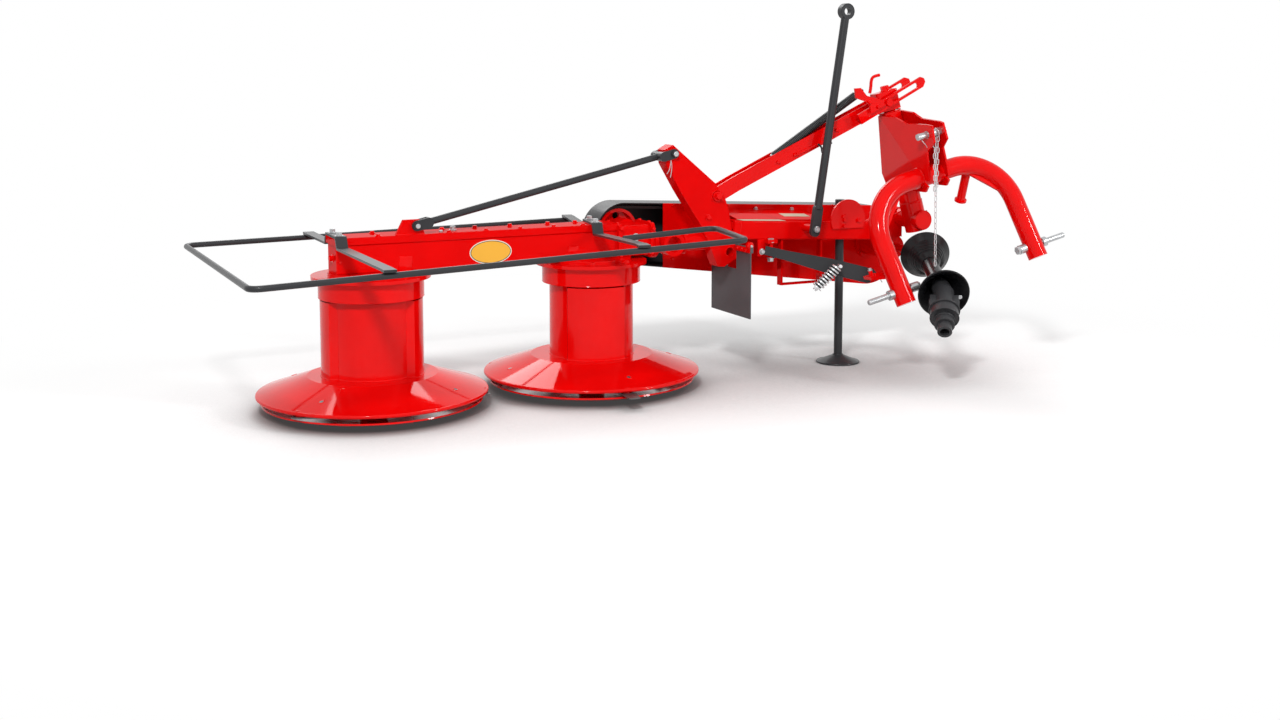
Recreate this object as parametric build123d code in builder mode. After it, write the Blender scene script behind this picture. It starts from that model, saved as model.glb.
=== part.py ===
from build123d import *
import math
import os

# Rear-mounted two-drum rotary mower, parked on its two skid dishes and its support leg.
# +X runs along the gear beam from the outer drum to the hitch, -Y is the way of travel, +Z is up.
# Places are measured from the outer drum's axis at floor level; the origin lies under the middle
# of the machine, so spot() takes MIDDLE_X and MIDDLE_Y off.

# Whole machine
MIDDLE_X = 1038.8
MIDDLE_Y = -146

# Running clearances
SHAFT_GAP = 0.05
SEAT_GAP = 0.3
SAFE_GAP = 5.5

# Drums, discs and skid dishes
DRUM_PITCH = 844
DISC_R = 405
DISC_RIM_Z = 62
DISC_TOP_Z = 126
DISC_PLATE = 5
DISC_FLAT_R = 228
DISC_LIP_R = 6.5
DRUM_TOP_Z = 394
DRUM_LOW_R = 157
DRUM_HIGH_R = 179
DRUM_WALL = 4
DRUM_WEB_Z = 380
DRUM_WEB = 8
LOBE_HALF = 36
LOBE_FOOT = 42
OUTER_TURN = 164
INNER_TURN = 73
SPINDLE_R = 22
SPINDLE_END_Z = 14
SHOULDER_R = 42
DISH_R = 385
DISH_FLAT_R = 165
DISH_RIM_Z = 31
DISH_PLATE = 5
DISH_HUB_R = 48
DISH_HUB_Z = 62
KNIFE_COUNT = 3
KNIFE_PIN_R = 8
KNIFE_PITCH_R = DISC_R - 23
KNIFE_REACH = 92
KNIFE_WIDTH = 44
KNIFE_PLATE = 4
KNIFE_Z = 47
KNIFE_PAD_R = 15
INNER_KNIFE_TURN = 264.6
KNIFE_SWUNG = 118

# Bearing housings under the beam
COLLAR_R = 184
COLLAR_WALL = 4.5
COLLAR_LOW_Z = 400
COLLAR_TOP_Z = 466
FLANGE_R = 208
FLANGE_PLATE = 12
NECK_R = 150

# Gear beam
BEAM_START_X = -135.5
BEAM_END_X = 925
BEAM_WIDTH = 114
BEAM_LOW_Z = 489
BEAM_TOP_Z = 590
COVER_PLATE = 25
COVER_LIP = 6
LUG_X = 150
LUG_Z = 645
LUG_PLATE = 14

# Gear case at the inner end, with the driven pulley behind it
CASE_LENGTH = 150
CASE_HALF = 62
CASE_FLANGE = 16
DRIVEN_X = 1022
DRIVEN_Z = 569
DRIVEN_R = 80
PULLEY_Y = 140
PULLEY_WIDTH = 56
PULLEY_SHAFT_R = 20

# Main frame, sloping down to the hitch
FRAME_Y = -50
FRAME_START_X = 1407
FRAME_END_X = 2075
FRAME_START_Z = 568.6
FRAME_END_Z = 532.5
FRAME_WIDTH = 90
FRAME_HEIGHT = 72
LINK_R = 36
LINK_Z = 528

# Upright with the tie rod and the lift arm
UPRIGHT_WIDTH = 62
UPRIGHT_PLATE = 6
TIE_TOP = (1149, 870)
TIE_ROD_R = 12.5
TIE_PIN_R = 9
TIE_JAW = 10
ARM_PIVOT = (1336, 702)
ARM_WIDTH = 48
ARM_DEPTH = 60
ARM_PLATE = 4
ARM_STRAIGHT = 98
ARM_PIN_R = 12
KNUCKLE = (1395, 484)
KNUCKLE_BORE_R = 17

# Pivot block: the boss turns about the travel axis, the king pin carries the headstock
KING = (2191, -180, 584)
HEAD_TILT = 13.5
HEAD_RAKE = 5
HEAD_YAW = -3.6
BOSS_R = 39
BOSS_FRONT_Y = -240
BOSS_BACK_Y = -98
BOSS_PIN_R = 20
KING_SOCKET_R = 46
KING_SOCKET_TOP = 72
KING_PIN_R = 24
NECK_TOP = 452
SWIVEL_X = -30
SWIVEL_Z = 492
SWIVEL_HALF = 32
SLOT_PIN_R = 7.5
SLOT_HALF = 11
SLOT_TRAVEL = 143
SLOT_RISE = 1
SLOT_TIP = 50
SLOT_PLATE = 8
SLOT_SPREAD = 46.5

# Headstock
COLUMN_R = 44
ARCH_HALF = 308
ARCH_BEND = 200
ARCH_TUBE_R = 38
ARCH_LEG = 441
ARCH_CROWN = (-190, 185)
ARCH_FOOT = (-325, -235)
MAST_HALF = 44.3
MAST_PLATE = 8
MAST_CREASE = ((-190, 202), (-6, 437))
MAST_BEND = 6.2
TOP_PIN = (-288, 352)
TOP_PIN_R = 12.7
TOP_SHANK_R = 14.6
TOP_PIN_TIP = -78
TOP_PIN_SHOULDER = -36.5
HITCH_PIN = (-310, -187)
HITCH_PIN_R = 11
HITCH_SHOULDER = 366
HITCH_TIP = 455

# Belt drive
GUARD_Y = 120
GUARD_DEPTH = 130
GUARD_SHEET = 4
GUARD_SMALL = (1036, 553)
GUARD_SMALL_R = 119
GUARD_BIG = (2172, 447)
GUARD_BIG_R = 166
PANEL_X = 1206
INPUT_X = 2172
INPUT_Z = 457
DRIVE_R = 128
BELT_THICK = 10
INPUT_HOUSING_R = 50
INPUT_SHAFT_R = 17.5
INPUT_END_Y = -236

# Support leg and transport rod
LEG_X = 1919
LEG_Y = FRAME_Y
LEG_R = 17
LEG_TOP_Z = 662
LEG_PLATE_R = 80
FOOT_R = 87
ROD_PIN = (1723, -172, 565)
ROD_EYE = (1853, 1407)
ROD_R = 16
ROD_BOLT_R = 8
ROD_FOOT = 16
ROD_FOOT_WIDTH = 40
ROD_FOOT_REACH = 92
EYE_R = 31
EYE_HOLE_R = 15

# Guard hoop
HOOP_R = 10
HOOP_BEND = 36
STRAP_WIDTH = 40
STRAP_PLATE = 8
STRAP_DROP = 36
OUTER_STRAP_X = -122
OUTER_STRAP_TURN = -2.2
INNER_STRAP_X = 850
INNER_STRAP_TURN = -11.5

# Power shaft
SHAFT_BACK = (2188, -256, 449)
SHAFT_FRONT = (2040, -575, 345)
YOKE_END = (1938, -716, 231)
BELL_R = 97
BELL_DEPTH = 96
TUBE_R = 32


def spot(x, y, z):
    return (x - MIDDLE_X, y - MIDDLE_Y, z)


def level(x, y, z):
    return Plane(origin=spot(x, y, z))


def facing_front(x, y, z):
    return Plane(origin=spot(x, y, z), x_dir=(1, 0, 0), z_dir=(0, -1, 0))


def facing_side(x, y, z):
    return Plane(origin=spot(x, y, z), x_dir=(0, 1, 0), z_dir=(1, 0, 0))


def along(start, end, up=(0, 1, 0)):
    """A plane at start whose normal points to end."""
    a = Vector(*spot(*start))
    b = Vector(*spot(*end))
    normal = (b - a).normalized()
    side = Vector(*up).cross(normal).normalized()
    return Plane(origin=a, x_dir=side, z_dir=normal), (b - a).length


def turned(x, y, angle):
    c = math.cos(math.radians(angle))
    s = math.sin(math.radians(angle))
    return (x * c - y * s, x * s + y * c)


def write(piece, name):
    piece.part.label = name
    export_step(piece.part, "parts/" + name + ".step")


os.makedirs("parts", exist_ok=True)

# Headstock frame: x to the right hitch pin, y backwards, z along the king pin
tilt = math.radians(HEAD_TILT)
rake = math.radians(HEAD_RAKE)
king_up = Vector(-math.sin(tilt) * math.cos(rake), math.sin(rake), math.cos(tilt) * math.cos(rake))
square_x = Vector(math.cos(tilt), 0, math.sin(tilt))
head_x = square_x.rotate(Axis((0, 0, 0), tuple(king_up)), HEAD_YAW)
HEAD = Plane(origin=spot(*KING), x_dir=head_x, z_dir=king_up)


def on_head(x, y, z):
    return HEAD.from_local_coords(Vector(x, y, z))


def head_level(x, y, z):
    return Plane(origin=on_head(x, y, z), x_dir=HEAD.x_dir, z_dir=HEAD.z_dir)


def head_side(x, y, z):
    return Plane(origin=on_head(x, y, z), x_dir=HEAD.y_dir, z_dir=HEAD.x_dir)


# Drum section: a round shell with two broad raised lobes, joined by sloping folds
def drum_section(low, high):
    with BuildSketch() as section:
        with BuildLine():
            for start in (0, 180):
                top = CenterArc((0, 0), high, start - LOBE_HALF, 2 * LOBE_HALF)
                low_arc = CenterArc((0, 0), low, start + LOBE_FOOT, 180 - 2 * LOBE_FOOT)
                Line(top @ 1, low_arc @ 0)
            for start in (0, 180):
                foot = turned(low, 0, start - LOBE_FOOT)
                head = turned(high, 0, start - LOBE_HALF)
                Line(foot, head)
        make_face()
    return section.sketch


DRUMS = (  # name, axis x, turn of the shell, turn of the first knife, how far each knife is swung in
    ("outer", 0, OUTER_TURN, 240 - INNER_KNIFE_TURN, (KNIFE_SWUNG, KNIFE_SWUNG, KNIFE_SWUNG)),
    ("inner", DRUM_PITCH, INNER_TURN, INNER_KNIFE_TURN, (0, KNIFE_SWUNG, KNIFE_SWUNG)),
)

for name, axis_x, shell_turn, knife_turn, knife_swings in DRUMS:
    half_plane = facing_front(axis_x, 0, 0)
    axis = Axis(spot(axis_x, 0, 0), (0, 0, 1))

    # Fixed housing: neck, flange, collar over the drum's top and the spindle through the drum
    with BuildPart() as housing:
        with BuildSketch(half_plane):
            with BuildLine():
                Polyline(
                    (0, BEAM_LOW_Z),
                    (NECK_R, BEAM_LOW_Z),
                    (NECK_R, COLLAR_TOP_Z + FLANGE_PLATE),
                    (FLANGE_R, COLLAR_TOP_Z + FLANGE_PLATE),
                    (FLANGE_R, COLLAR_TOP_Z),
                    (COLLAR_R, COLLAR_TOP_Z),
                    (COLLAR_R, COLLAR_LOW_Z),
                    (COLLAR_R - COLLAR_WALL, COLLAR_LOW_Z),
                    (COLLAR_R - COLLAR_WALL, COLLAR_TOP_Z - COLLAR_WALL),
                    (SHOULDER_R, COLLAR_TOP_Z - COLLAR_WALL),
                    (SHOULDER_R, DRUM_WEB_Z + DRUM_WEB + SEAT_GAP),
                    (SPINDLE_R, DRUM_WEB_Z + DRUM_WEB + SEAT_GAP),
                    (SPINDLE_R, SPINDLE_END_Z),
                    (0, SPINDLE_END_Z),
                    close=True,
                )
            make_face()
        revolve(axis=axis)
    write(housing, name + "_bearing_housing")

    # Drum shell with its top web on the spindle
    with BuildPart() as drum:
        with BuildSketch(level(axis_x, 0, DISC_TOP_Z)):
            add(drum_section(DRUM_LOW_R, DRUM_HIGH_R), rotation=shell_turn)
        extrude(amount=DRUM_TOP_Z - DISC_TOP_Z)
        with BuildSketch(level(axis_x, 0, DISC_TOP_Z)):
            add(drum_section(DRUM_LOW_R - DRUM_WALL, DRUM_HIGH_R - DRUM_WALL), rotation=shell_turn)
        extrude(amount=DRUM_WEB_Z - DISC_TOP_Z, mode=Mode.SUBTRACT)
        with BuildSketch(level(axis_x, 0, DRUM_WEB_Z + DRUM_WEB)):
            add(drum_section(DRUM_LOW_R - DRUM_WALL, DRUM_HIGH_R - DRUM_WALL), rotation=shell_turn)
        extrude(amount=DRUM_TOP_Z - DRUM_WEB_Z - DRUM_WEB, mode=Mode.SUBTRACT)
        with BuildSketch(level(axis_x, 0, DRUM_WEB_Z)):
            Circle(SPINDLE_R + SHAFT_GAP)
        extrude(amount=DRUM_WEB, mode=Mode.SUBTRACT)
    write(drum, name + "_drum_shell")

    # Cutting disc: a pressed cone with a rolled lip, and a pad under it for each knife
    slope = (DISC_TOP_Z - DISC_RIM_Z - DISC_LIP_R) / (DISC_R - DISC_LIP_R - DISC_FLAT_R)
    with BuildPart() as disc:
        with BuildSketch(half_plane):
            with BuildLine():
                Polyline(
                    (DISC_R - DISC_LIP_R, DISC_RIM_Z + DISC_LIP_R),
                    (DISC_FLAT_R, DISC_TOP_Z),
                    (SPINDLE_R + SHAFT_GAP, DISC_TOP_Z),
                    (SPINDLE_R + SHAFT_GAP, DISC_TOP_Z - DISC_PLATE),
                    (DISC_FLAT_R - 2, DISC_TOP_Z - DISC_PLATE),
                    (DISC_R - DISC_LIP_R, DISC_RIM_Z + DISC_LIP_R - DISC_PLATE - 2),
                    (DISC_R - DISC_LIP_R, DISC_RIM_Z - DISC_LIP_R),
                )
                ThreePointArc(
                    (DISC_R - DISC_LIP_R, DISC_RIM_Z - DISC_LIP_R),
                    (DISC_R, DISC_RIM_Z),
                    (DISC_R - DISC_LIP_R, DISC_RIM_Z + DISC_LIP_R),
                )
            make_face()
        revolve(axis=axis)
        pad_top = DISC_TOP_Z - (KNIFE_PITCH_R - DISC_FLAT_R) * slope - DISC_PLATE / 2
        with BuildSketch(level(axis_x, 0, KNIFE_Z + KNIFE_PLATE + SEAT_GAP)):
            with PolarLocations(KNIFE_PITCH_R, KNIFE_COUNT, start_angle=knife_turn):
                Circle(KNIFE_PAD_R)
        extrude(amount=pad_top - KNIFE_Z - KNIFE_PLATE - SEAT_GAP)
    write(disc, name + "_cutting_disc")

    # Knives on their pins
    with BuildPart() as knives:
        for number in range(KNIFE_COUNT):
            angle = knife_turn + 360 / KNIFE_COUNT * number
            px, py = turned(KNIFE_PITCH_R, 0, angle)
            pin = Plane(
                origin=spot(axis_x + px, py, KNIFE_Z),
                x_dir=(*turned(1, 0, angle + knife_swings[number]), 0),
                z_dir=(0, 0, 1),
            )
            with BuildSketch(pin):
                with BuildLine():
                    Polyline(
                        (KNIFE_WIDTH / 2 - KNIFE_REACH / 2, -KNIFE_WIDTH / 2),
                        (KNIFE_REACH - 8, -KNIFE_WIDTH / 2),
                        (KNIFE_REACH, -KNIFE_WIDTH / 2 + 8),
                        (KNIFE_REACH, KNIFE_WIDTH / 2 - 8),
                        (KNIFE_REACH - 8, KNIFE_WIDTH / 2),
                        (KNIFE_WIDTH / 2 - KNIFE_REACH / 2, KNIFE_WIDTH / 2),
                        close=True,
                    )
                make_face()
            extrude(amount=KNIFE_PLATE)
            with BuildSketch(pin.offset(-4)):
                Circle(KNIFE_PIN_R + 3)
            extrude(amount=4)
    write(knives, name + "_knives")

    # Skid dish, free on the spindle's end
    with BuildPart() as dish:
        with BuildSketch(half_plane):
            with BuildLine():
                Polyline(
                    (DISH_R - 2, DISH_RIM_Z + DISH_PLATE),
                    (DISH_FLAT_R, DISH_PLATE),
                    (DISH_HUB_R, DISH_PLATE),
                    (DISH_HUB_R, DISH_HUB_Z),
                    (SPINDLE_R + SHAFT_GAP, DISH_HUB_Z),
                    (SPINDLE_R + SHAFT_GAP, SPINDLE_END_Z - SEAT_GAP),
                    (0, SPINDLE_END_Z - SEAT_GAP),
                    (0, 0),
                    (DISH_FLAT_R, 0),
                )
                ThreePointArc(
                    (DISH_FLAT_R, 0),
                    ((DISH_FLAT_R + DISH_R) / 2 + 14, DISH_RIM_Z / 2 - 9),
                    (DISH_R, DISH_RIM_Z),
                )
                Line((DISH_R, DISH_RIM_Z), (DISH_R - 2, DISH_RIM_Z + DISH_PLATE))
            make_face()
        revolve(axis=axis)
    write(dish, name + "_skid_dish")

# Gear beam: a closed gear case with its bolted cover, and the tie rod's lug on top
with BuildPart() as gear_beam:
    with BuildSketch(facing_side(BEAM_START_X, 0, 0)):
        with Locations((0, (BEAM_LOW_Z + BEAM_TOP_Z) / 2)):
            RectangleRounded(BEAM_WIDTH, BEAM_TOP_Z - BEAM_LOW_Z, 5)
    extrude(amount=BEAM_END_X - BEAM_START_X)
write(gear_beam, "gear_beam")

cover_top = BEAM_TOP_Z + COVER_PLATE
with BuildPart() as beam_cover:
    with BuildSketch(facing_side(BEAM_START_X - COVER_LIP, 0, 0)):
        with Locations((0, BEAM_TOP_Z + COVER_PLATE / 2)):
            Rectangle(BEAM_WIDTH + 2 * COVER_LIP, COVER_PLATE)
    extrude(amount=BEAM_END_X - BEAM_START_X + COVER_LIP)
    with BuildSketch(facing_front(LUG_X, FRAME_Y + LUG_PLATE / 2, 0)):
        with BuildLine():
            Polyline(
                (-76, cover_top - 1),
                (30, cover_top - 1),
                (12, LUG_Z + 22),
                (-48, LUG_Z + 22),
                close=True,
            )
        make_face()
        with Locations((0, LUG_Z)):
            Circle(TIE_PIN_R + SHAFT_GAP, mode=Mode.SUBTRACT)
    extrude(amount=LUG_PLATE)
write(beam_cover, "beam_cover")

# Gear case at the inner end of the beam
case_end_x = BEAM_END_X + CASE_LENGTH
case_top_z = BEAM_TOP_Z + 14
with BuildPart() as gear_case:
    with BuildSketch(facing_side(BEAM_END_X, 0, 0)):
        with Locations((0, (BEAM_LOW_Z + case_top_z) / 2)):
            RectangleRounded(2 * CASE_HALF, case_top_z - BEAM_LOW_Z, 12)
    extrude(amount=CASE_LENGTH)
    for flange_x in (BEAM_END_X, case_end_x - CASE_FLANGE):
        with BuildSketch(facing_side(flange_x, 0, 0)):
            with Locations((0, (BEAM_LOW_Z + case_top_z) / 2)):
                RectangleRounded(2 * CASE_HALF + 22, case_top_z - BEAM_LOW_Z + 16, 16)
        extrude(amount=CASE_FLANGE)
    with BuildSketch(facing_front(DRIVEN_X, CASE_HALF, DRIVEN_Z)):
        Circle(46)
    extrude(amount=-(PULLEY_Y - CASE_HALF - SAFE_GAP))
    with BuildSketch(facing_front(DRIVEN_X, CASE_HALF, DRIVEN_Z)):
        Circle(PULLEY_SHAFT_R)
    extrude(amount=-(PULLEY_Y + PULLEY_WIDTH - CASE_HALF))
    add(housing.part, mode=Mode.SUBTRACT)
write(gear_case, "gear_case")

# Main frame beam in its own sloping plane
slope_x = FRAME_END_X - FRAME_START_X
slope_z = FRAME_END_Z - FRAME_START_Z
frame_length = math.hypot(slope_x, slope_z)
frame_dir = (slope_x / frame_length, 0, slope_z / frame_length)
FRAME = Plane(
    origin=spot(FRAME_START_X, FRAME_Y, FRAME_START_Z),
    x_dir=(0, 1, 0),
    z_dir=frame_dir,
)

# Upright: folded channel, open on its right side, with the bored knuckle at its foot
upright_outline = (
    (1113, 885), (1147, 903), (1328, 753), (1372, 695), (1390, 639), (1399, 588), (1420, 509),
    (1434, 463), (1370, 428), (1343, 430), (1312, 500), (1275, 585), (1235, 642), (1176, 732),
    (1117, 832),
)
upright_front_y = FRAME_Y - UPRIGHT_WIDTH / 2
with BuildPart() as upright:
    with BuildSketch(facing_front(0, FRAME_Y + UPRIGHT_WIDTH / 2, 0)):
        Polygon(*upright_outline, align=None)
    extrude(amount=UPRIGHT_WIDTH)
    with BuildSketch(facing_front(UPRIGHT_PLATE + 2, FRAME_Y + UPRIGHT_WIDTH / 2 - UPRIGHT_PLATE, 0)):
        Polygon(*upright_outline, align=None)
    extrude(amount=UPRIGHT_WIDTH - 2 * UPRIGHT_PLATE, mode=Mode.SUBTRACT)
    with BuildSketch(facing_front(KNUCKLE[0], FRAME_Y + UPRIGHT_WIDTH / 2, KNUCKLE[1])):
        Circle(KNUCKLE_BORE_R + 9)
    extrude(amount=UPRIGHT_WIDTH)
    with BuildSketch(facing_front(KNUCKLE[0], FRAME_Y + UPRIGHT_WIDTH / 2, KNUCKLE[1])):
        Circle(KNUCKLE_BORE_R)
    extrude(amount=UPRIGHT_WIDTH, mode=Mode.SUBTRACT)
    for (hole_x, hole_z), hole_r in ((TIE_TOP, TIE_PIN_R), (ARM_PIVOT, ARM_PIN_R)):
        with BuildSketch(facing_front(hole_x, FRAME_Y + UPRIGHT_WIDTH / 2, hole_z)):
            Circle(hole_r + SHAFT_GAP)
        extrude(amount=UPRIGHT_WIDTH, mode=Mode.SUBTRACT)
write(upright, "upright")

with BuildPart() as frame_beam:
    with BuildSketch(FRAME):
        RectangleRounded(FRAME_WIDTH, FRAME_HEIGHT, 6)
    extrude(amount=frame_length)
    with BuildSketch(FRAME.offset(-95)):
        Rectangle(UPRIGHT_WIDTH - 2 * UPRIGHT_PLATE - 0.6, FRAME_HEIGHT - 12)
    extrude(amount=95)
    add(upright.part, mode=Mode.SUBTRACT)
    with BuildSketch(facing_front(ROD_PIN[0], FRAME_Y - FRAME_WIDTH / 2 + 1, ROD_PIN[2])):
        Circle(ROD_BOLT_R + 7)
    extrude(amount=FRAME_Y - FRAME_WIDTH / 2 + 1 - ROD_PIN[1] - ROD_FOOT / 2 - SEAT_GAP)
    with BuildSketch(level(LEG_X, LEG_Y, 0)):
        Circle(LEG_R + SHAFT_GAP)
    extrude(amount=LEG_TOP_Z, mode=Mode.SUBTRACT)
write(frame_beam, "frame_beam")

# Link housing between the gear case and the upright, with its bored ring boss on the front
link_length = FRAME_START_X - case_end_x - 70
with BuildPart() as link_housing:
    with BuildSketch(facing_side(case_end_x, FRAME_Y + 16, LINK_Z)):
        Circle(LINK_R)
    extrude(amount=link_length)
    for ring_x, ring_r in ((case_end_x, 52), (case_end_x + 126, 46)):
        with BuildSketch(facing_side(ring_x, FRAME_Y + 16, LINK_Z)):
            Circle(ring_r)
        extrude(amount=14)
    with BuildSketch(facing_front(case_end_x + 63, FRAME_Y + 10, LINK_Z + 2)):
        Circle(45)
    extrude(amount=72)
    with BuildSketch(facing_front(case_end_x + 63, FRAME_Y - 26, LINK_Z + 2)):
        Circle(30)
    extrude(amount=78, mode=Mode.SUBTRACT)
    with BuildSketch(facing_front(0, FRAME_Y + 80, 0)):
        Polygon(*upright_outline, align=None)
    extrude(amount=160, mode=Mode.SUBTRACT)
write(link_housing, "link_housing")

# Frame end: gusset up to the boss pin and a saddle on the input housing
with BuildPart() as frame_end:
    with BuildSketch(facing_front(0, FRAME_Y + 40, 0)):
        Polygon(
            (FRAME_END_X, FRAME_END_Z + 34), (KING[0] - 80, 606), (KING[0], KING[2] + BOSS_R),
            (KING[0] + BOSS_R, KING[2]), (KING[0] + 4, KING[2] - BOSS_R), (KING[0] + 4, INPUT_Z + 30),
            (INPUT_X - 42, INPUT_Z + 30), (FRAME_END_X, FRAME_END_Z - 34),
            align=None,
        )
    extrude(amount=80)
    with BuildSketch(facing_front(KING[0], FRAME_Y, KING[2])):
        Circle(BOSS_PIN_R)
    extrude(amount=FRAME_Y - BOSS_FRONT_Y - 14)
    with BuildSketch(facing_front(INPUT_X, FRAME_Y + 41, INPUT_Z)):
        Circle(INPUT_HOUSING_R)
    extrude(amount=100, mode=Mode.SUBTRACT)
    add(frame_beam.part, mode=Mode.SUBTRACT)
write(frame_end, "frame_end")

# Input shaft and its bearing housing
with BuildPart() as input_housing:
    with BuildSketch(facing_front(INPUT_X, GUARD_Y, INPUT_Z)):
        Circle(INPUT_HOUSING_R)
    extrude(amount=GUARD_Y - FRAME_Y + 18)
    with BuildSketch(facing_front(INPUT_X, GUARD_Y, INPUT_Z)):
        Circle(INPUT_HOUSING_R + 16)
    extrude(amount=14)
    with BuildSketch(facing_front(INPUT_X, PULLEY_Y + PULLEY_WIDTH, INPUT_Z)):
        Circle(INPUT_SHAFT_R)
    extrude(amount=PULLEY_Y + PULLEY_WIDTH - INPUT_END_Y)
    with BuildSketch(facing_front(INPUT_X, INPUT_END_Y + 46, INPUT_Z)):
        Circle(30)
    extrude(amount=46)
write(input_housing, "input_housing")


# Pulleys with a rim, a web with round holes, and a hub
def pulley(centre_x, centre_z, radius, shaft_r, holes, name):
    with BuildPart() as wheel:
        with BuildSketch(facing_front(centre_x, PULLEY_Y + PULLEY_WIDTH, centre_z)):
            Circle(radius)
            Circle(shaft_r + SHAFT_GAP, mode=Mode.SUBTRACT)
        extrude(amount=PULLEY_WIDTH)
        for recess_y, way in ((PULLEY_Y, -1), (PULLEY_Y + PULLEY_WIDTH, 1)):
            with BuildSketch(facing_front(centre_x, recess_y, centre_z)):
                Circle(radius - 12)
                Circle(shaft_r + 14, mode=Mode.SUBTRACT)
            extrude(amount=way * (PULLEY_WIDTH / 2 - 5), mode=Mode.SUBTRACT)
        with BuildSketch(facing_front(centre_x, PULLEY_Y + PULLEY_WIDTH, centre_z)):
            with PolarLocations((radius + shaft_r) / 2, holes):
                Circle((radius - shaft_r) / 2 - 16)
        extrude(amount=PULLEY_WIDTH, mode=Mode.SUBTRACT)
    write(wheel, name)


pulley(DRIVEN_X, DRIVEN_Z, DRIVEN_R, PULLEY_SHAFT_R, 4, "driven_pulley")
pulley(INPUT_X, INPUT_Z, DRIVE_R, INPUT_SHAFT_R, 5, "drive_pulley")


# A loop round two centres, with its radii at the two ends
def drive_loop(small, small_r, big, big_r):
    with BuildSketch() as loop:
        with Locations(small):
            Circle(small_r)
        with Locations(big):
            Circle(big_r)
        make_hull()
    return loop.sketch


driven_centre = (DRIVEN_X, DRIVEN_Z)
drive_centre = (INPUT_X, INPUT_Z)
belt_in = (DRIVEN_R + SEAT_GAP, DRIVE_R + SEAT_GAP)


with BuildPart() as belts:
    with BuildSketch(facing_front(0, PULLEY_Y + PULLEY_WIDTH - 5, 0)):
        add(drive_loop(driven_centre, belt_in[0] + BELT_THICK, drive_centre, belt_in[1] + BELT_THICK))
        add(drive_loop(driven_centre, belt_in[0], drive_centre, belt_in[1]), mode=Mode.SUBTRACT)
    extrude(amount=PULLEY_WIDTH - 10)
write(belts, "drive_belts")

# Belt guard: a black tray behind, open over the driven pulley, and a red front panel
guard_back_y = GUARD_Y + GUARD_DEPTH
with BuildPart() as guard_tray:
    with BuildSketch(facing_front(0, guard_back_y, 0)):
        add(drive_loop(GUARD_SMALL, GUARD_SMALL_R, GUARD_BIG, GUARD_BIG_R))
    extrude(amount=GUARD_DEPTH)
    with BuildSketch(facing_front(0, guard_back_y - GUARD_SHEET, 0)):
        add(drive_loop(GUARD_SMALL, GUARD_SMALL_R - GUARD_SHEET, GUARD_BIG, GUARD_BIG_R - GUARD_SHEET))
    extrude(amount=GUARD_DEPTH, mode=Mode.SUBTRACT)
    with BuildSketch(level(DRUM_PITCH, 0, COLLAR_LOW_Z)):
        Circle(FLANGE_R + SAFE_GAP)
    extrude(amount=COLLAR_TOP_Z + FLANGE_PLATE + SEAT_GAP - COLLAR_LOW_Z, mode=Mode.SUBTRACT)
write(guard_tray, "belt_guard_tray")

with BuildPart() as guard_panel:
    with BuildSketch(facing_front(0, GUARD_Y, 0)):
        add(drive_loop(GUARD_SMALL, GUARD_SMALL_R, GUARD_BIG, GUARD_BIG_R))
        with Locations((PANEL_X - 300, DRIVEN_Z)):
            Rectangle(600, 600, mode=Mode.SUBTRACT)
        with Locations((INPUT_X, INPUT_Z)):
            Circle(INPUT_HOUSING_R, mode=Mode.SUBTRACT)
        with Locations((INPUT_X, INPUT_Z)):
            for slot_middle in (197, 273):
                SlotArc(CenterArc((0, 0), 95, slot_middle - 18, 36), 22, mode=Mode.SUBTRACT)
    extrude(amount=GUARD_SHEET)
    add(input_housing.part, mode=Mode.SUBTRACT)
write(guard_panel, "belt_guard_panel")

# Brackets that carry the guard, and the sloping shield over them
with BuildPart() as guard_brackets:
    for bracket_x in (FRAME_START_X + 93, FRAME_END_X - 45):
        with BuildSketch(facing_side(bracket_x, 0, 0)):
            with Locations(((FRAME_Y + FRAME_WIDTH / 2 + GUARD_Y - GUARD_SHEET) / 2, 538)):
                Rectangle(GUARD_Y - GUARD_SHEET - FRAME_Y - FRAME_WIDTH / 2, 30)
        extrude(amount=40)
write(guard_brackets, "guard_brackets")

shield_low = FRAME_HEIGHT / 2
SHIELD_LENGTH = frame_length - 279
with BuildPart() as shield:
    with BuildSketch(FRAME.offset(40)):
        Polygon(
            (10, shield_low), (166, shield_low + 26), (166, shield_low + 29), (8, shield_low + 3),
            align=None,
        )
    extrude(amount=SHIELD_LENGTH)
write(shield, "top_shield")

# Bracket of the support leg: a round-topped plate on the frame's front and a collar round the leg
leg_frame_z = FRAME_START_Z + (FRAME_END_Z - FRAME_START_Z) * (LEG_X - FRAME_START_X) / (FRAME_END_X - FRAME_START_X)
with BuildPart() as leg_bracket:
    with BuildSketch(facing_front(LEG_X + 5, FRAME_Y - FRAME_WIDTH / 2, leg_frame_z + 46)):
        Circle(LEG_PLATE_R)
        with Locations((0, -LEG_PLATE_R - 8)):
            Rectangle(2 * LEG_PLATE_R, LEG_PLATE_R + 24, mode=Mode.SUBTRACT)
    extrude(amount=8)
    with BuildSketch(level(LEG_X, LEG_Y, leg_frame_z + FRAME_HEIGHT / 2 - 4)):
        Circle(LEG_R + SHAFT_GAP + 7)
    extrude(amount=44)
    with BuildSketch(facing_side(LEG_X - 4, FRAME_Y - FRAME_WIDTH / 2 / 2 - 12, leg_frame_z + FRAME_HEIGHT / 2 + 14)):
        Rectangle(FRAME_WIDTH / 2 - 18, 36)
    extrude(amount=8)
    with BuildSketch(level(LEG_X, LEG_Y, 0)):
        Circle(LEG_R + SHAFT_GAP)
    extrude(amount=LEG_TOP_Z, mode=Mode.SUBTRACT)
    add(frame_beam.part, mode=Mode.SUBTRACT)
write(leg_bracket, "leg_bracket")

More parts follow.
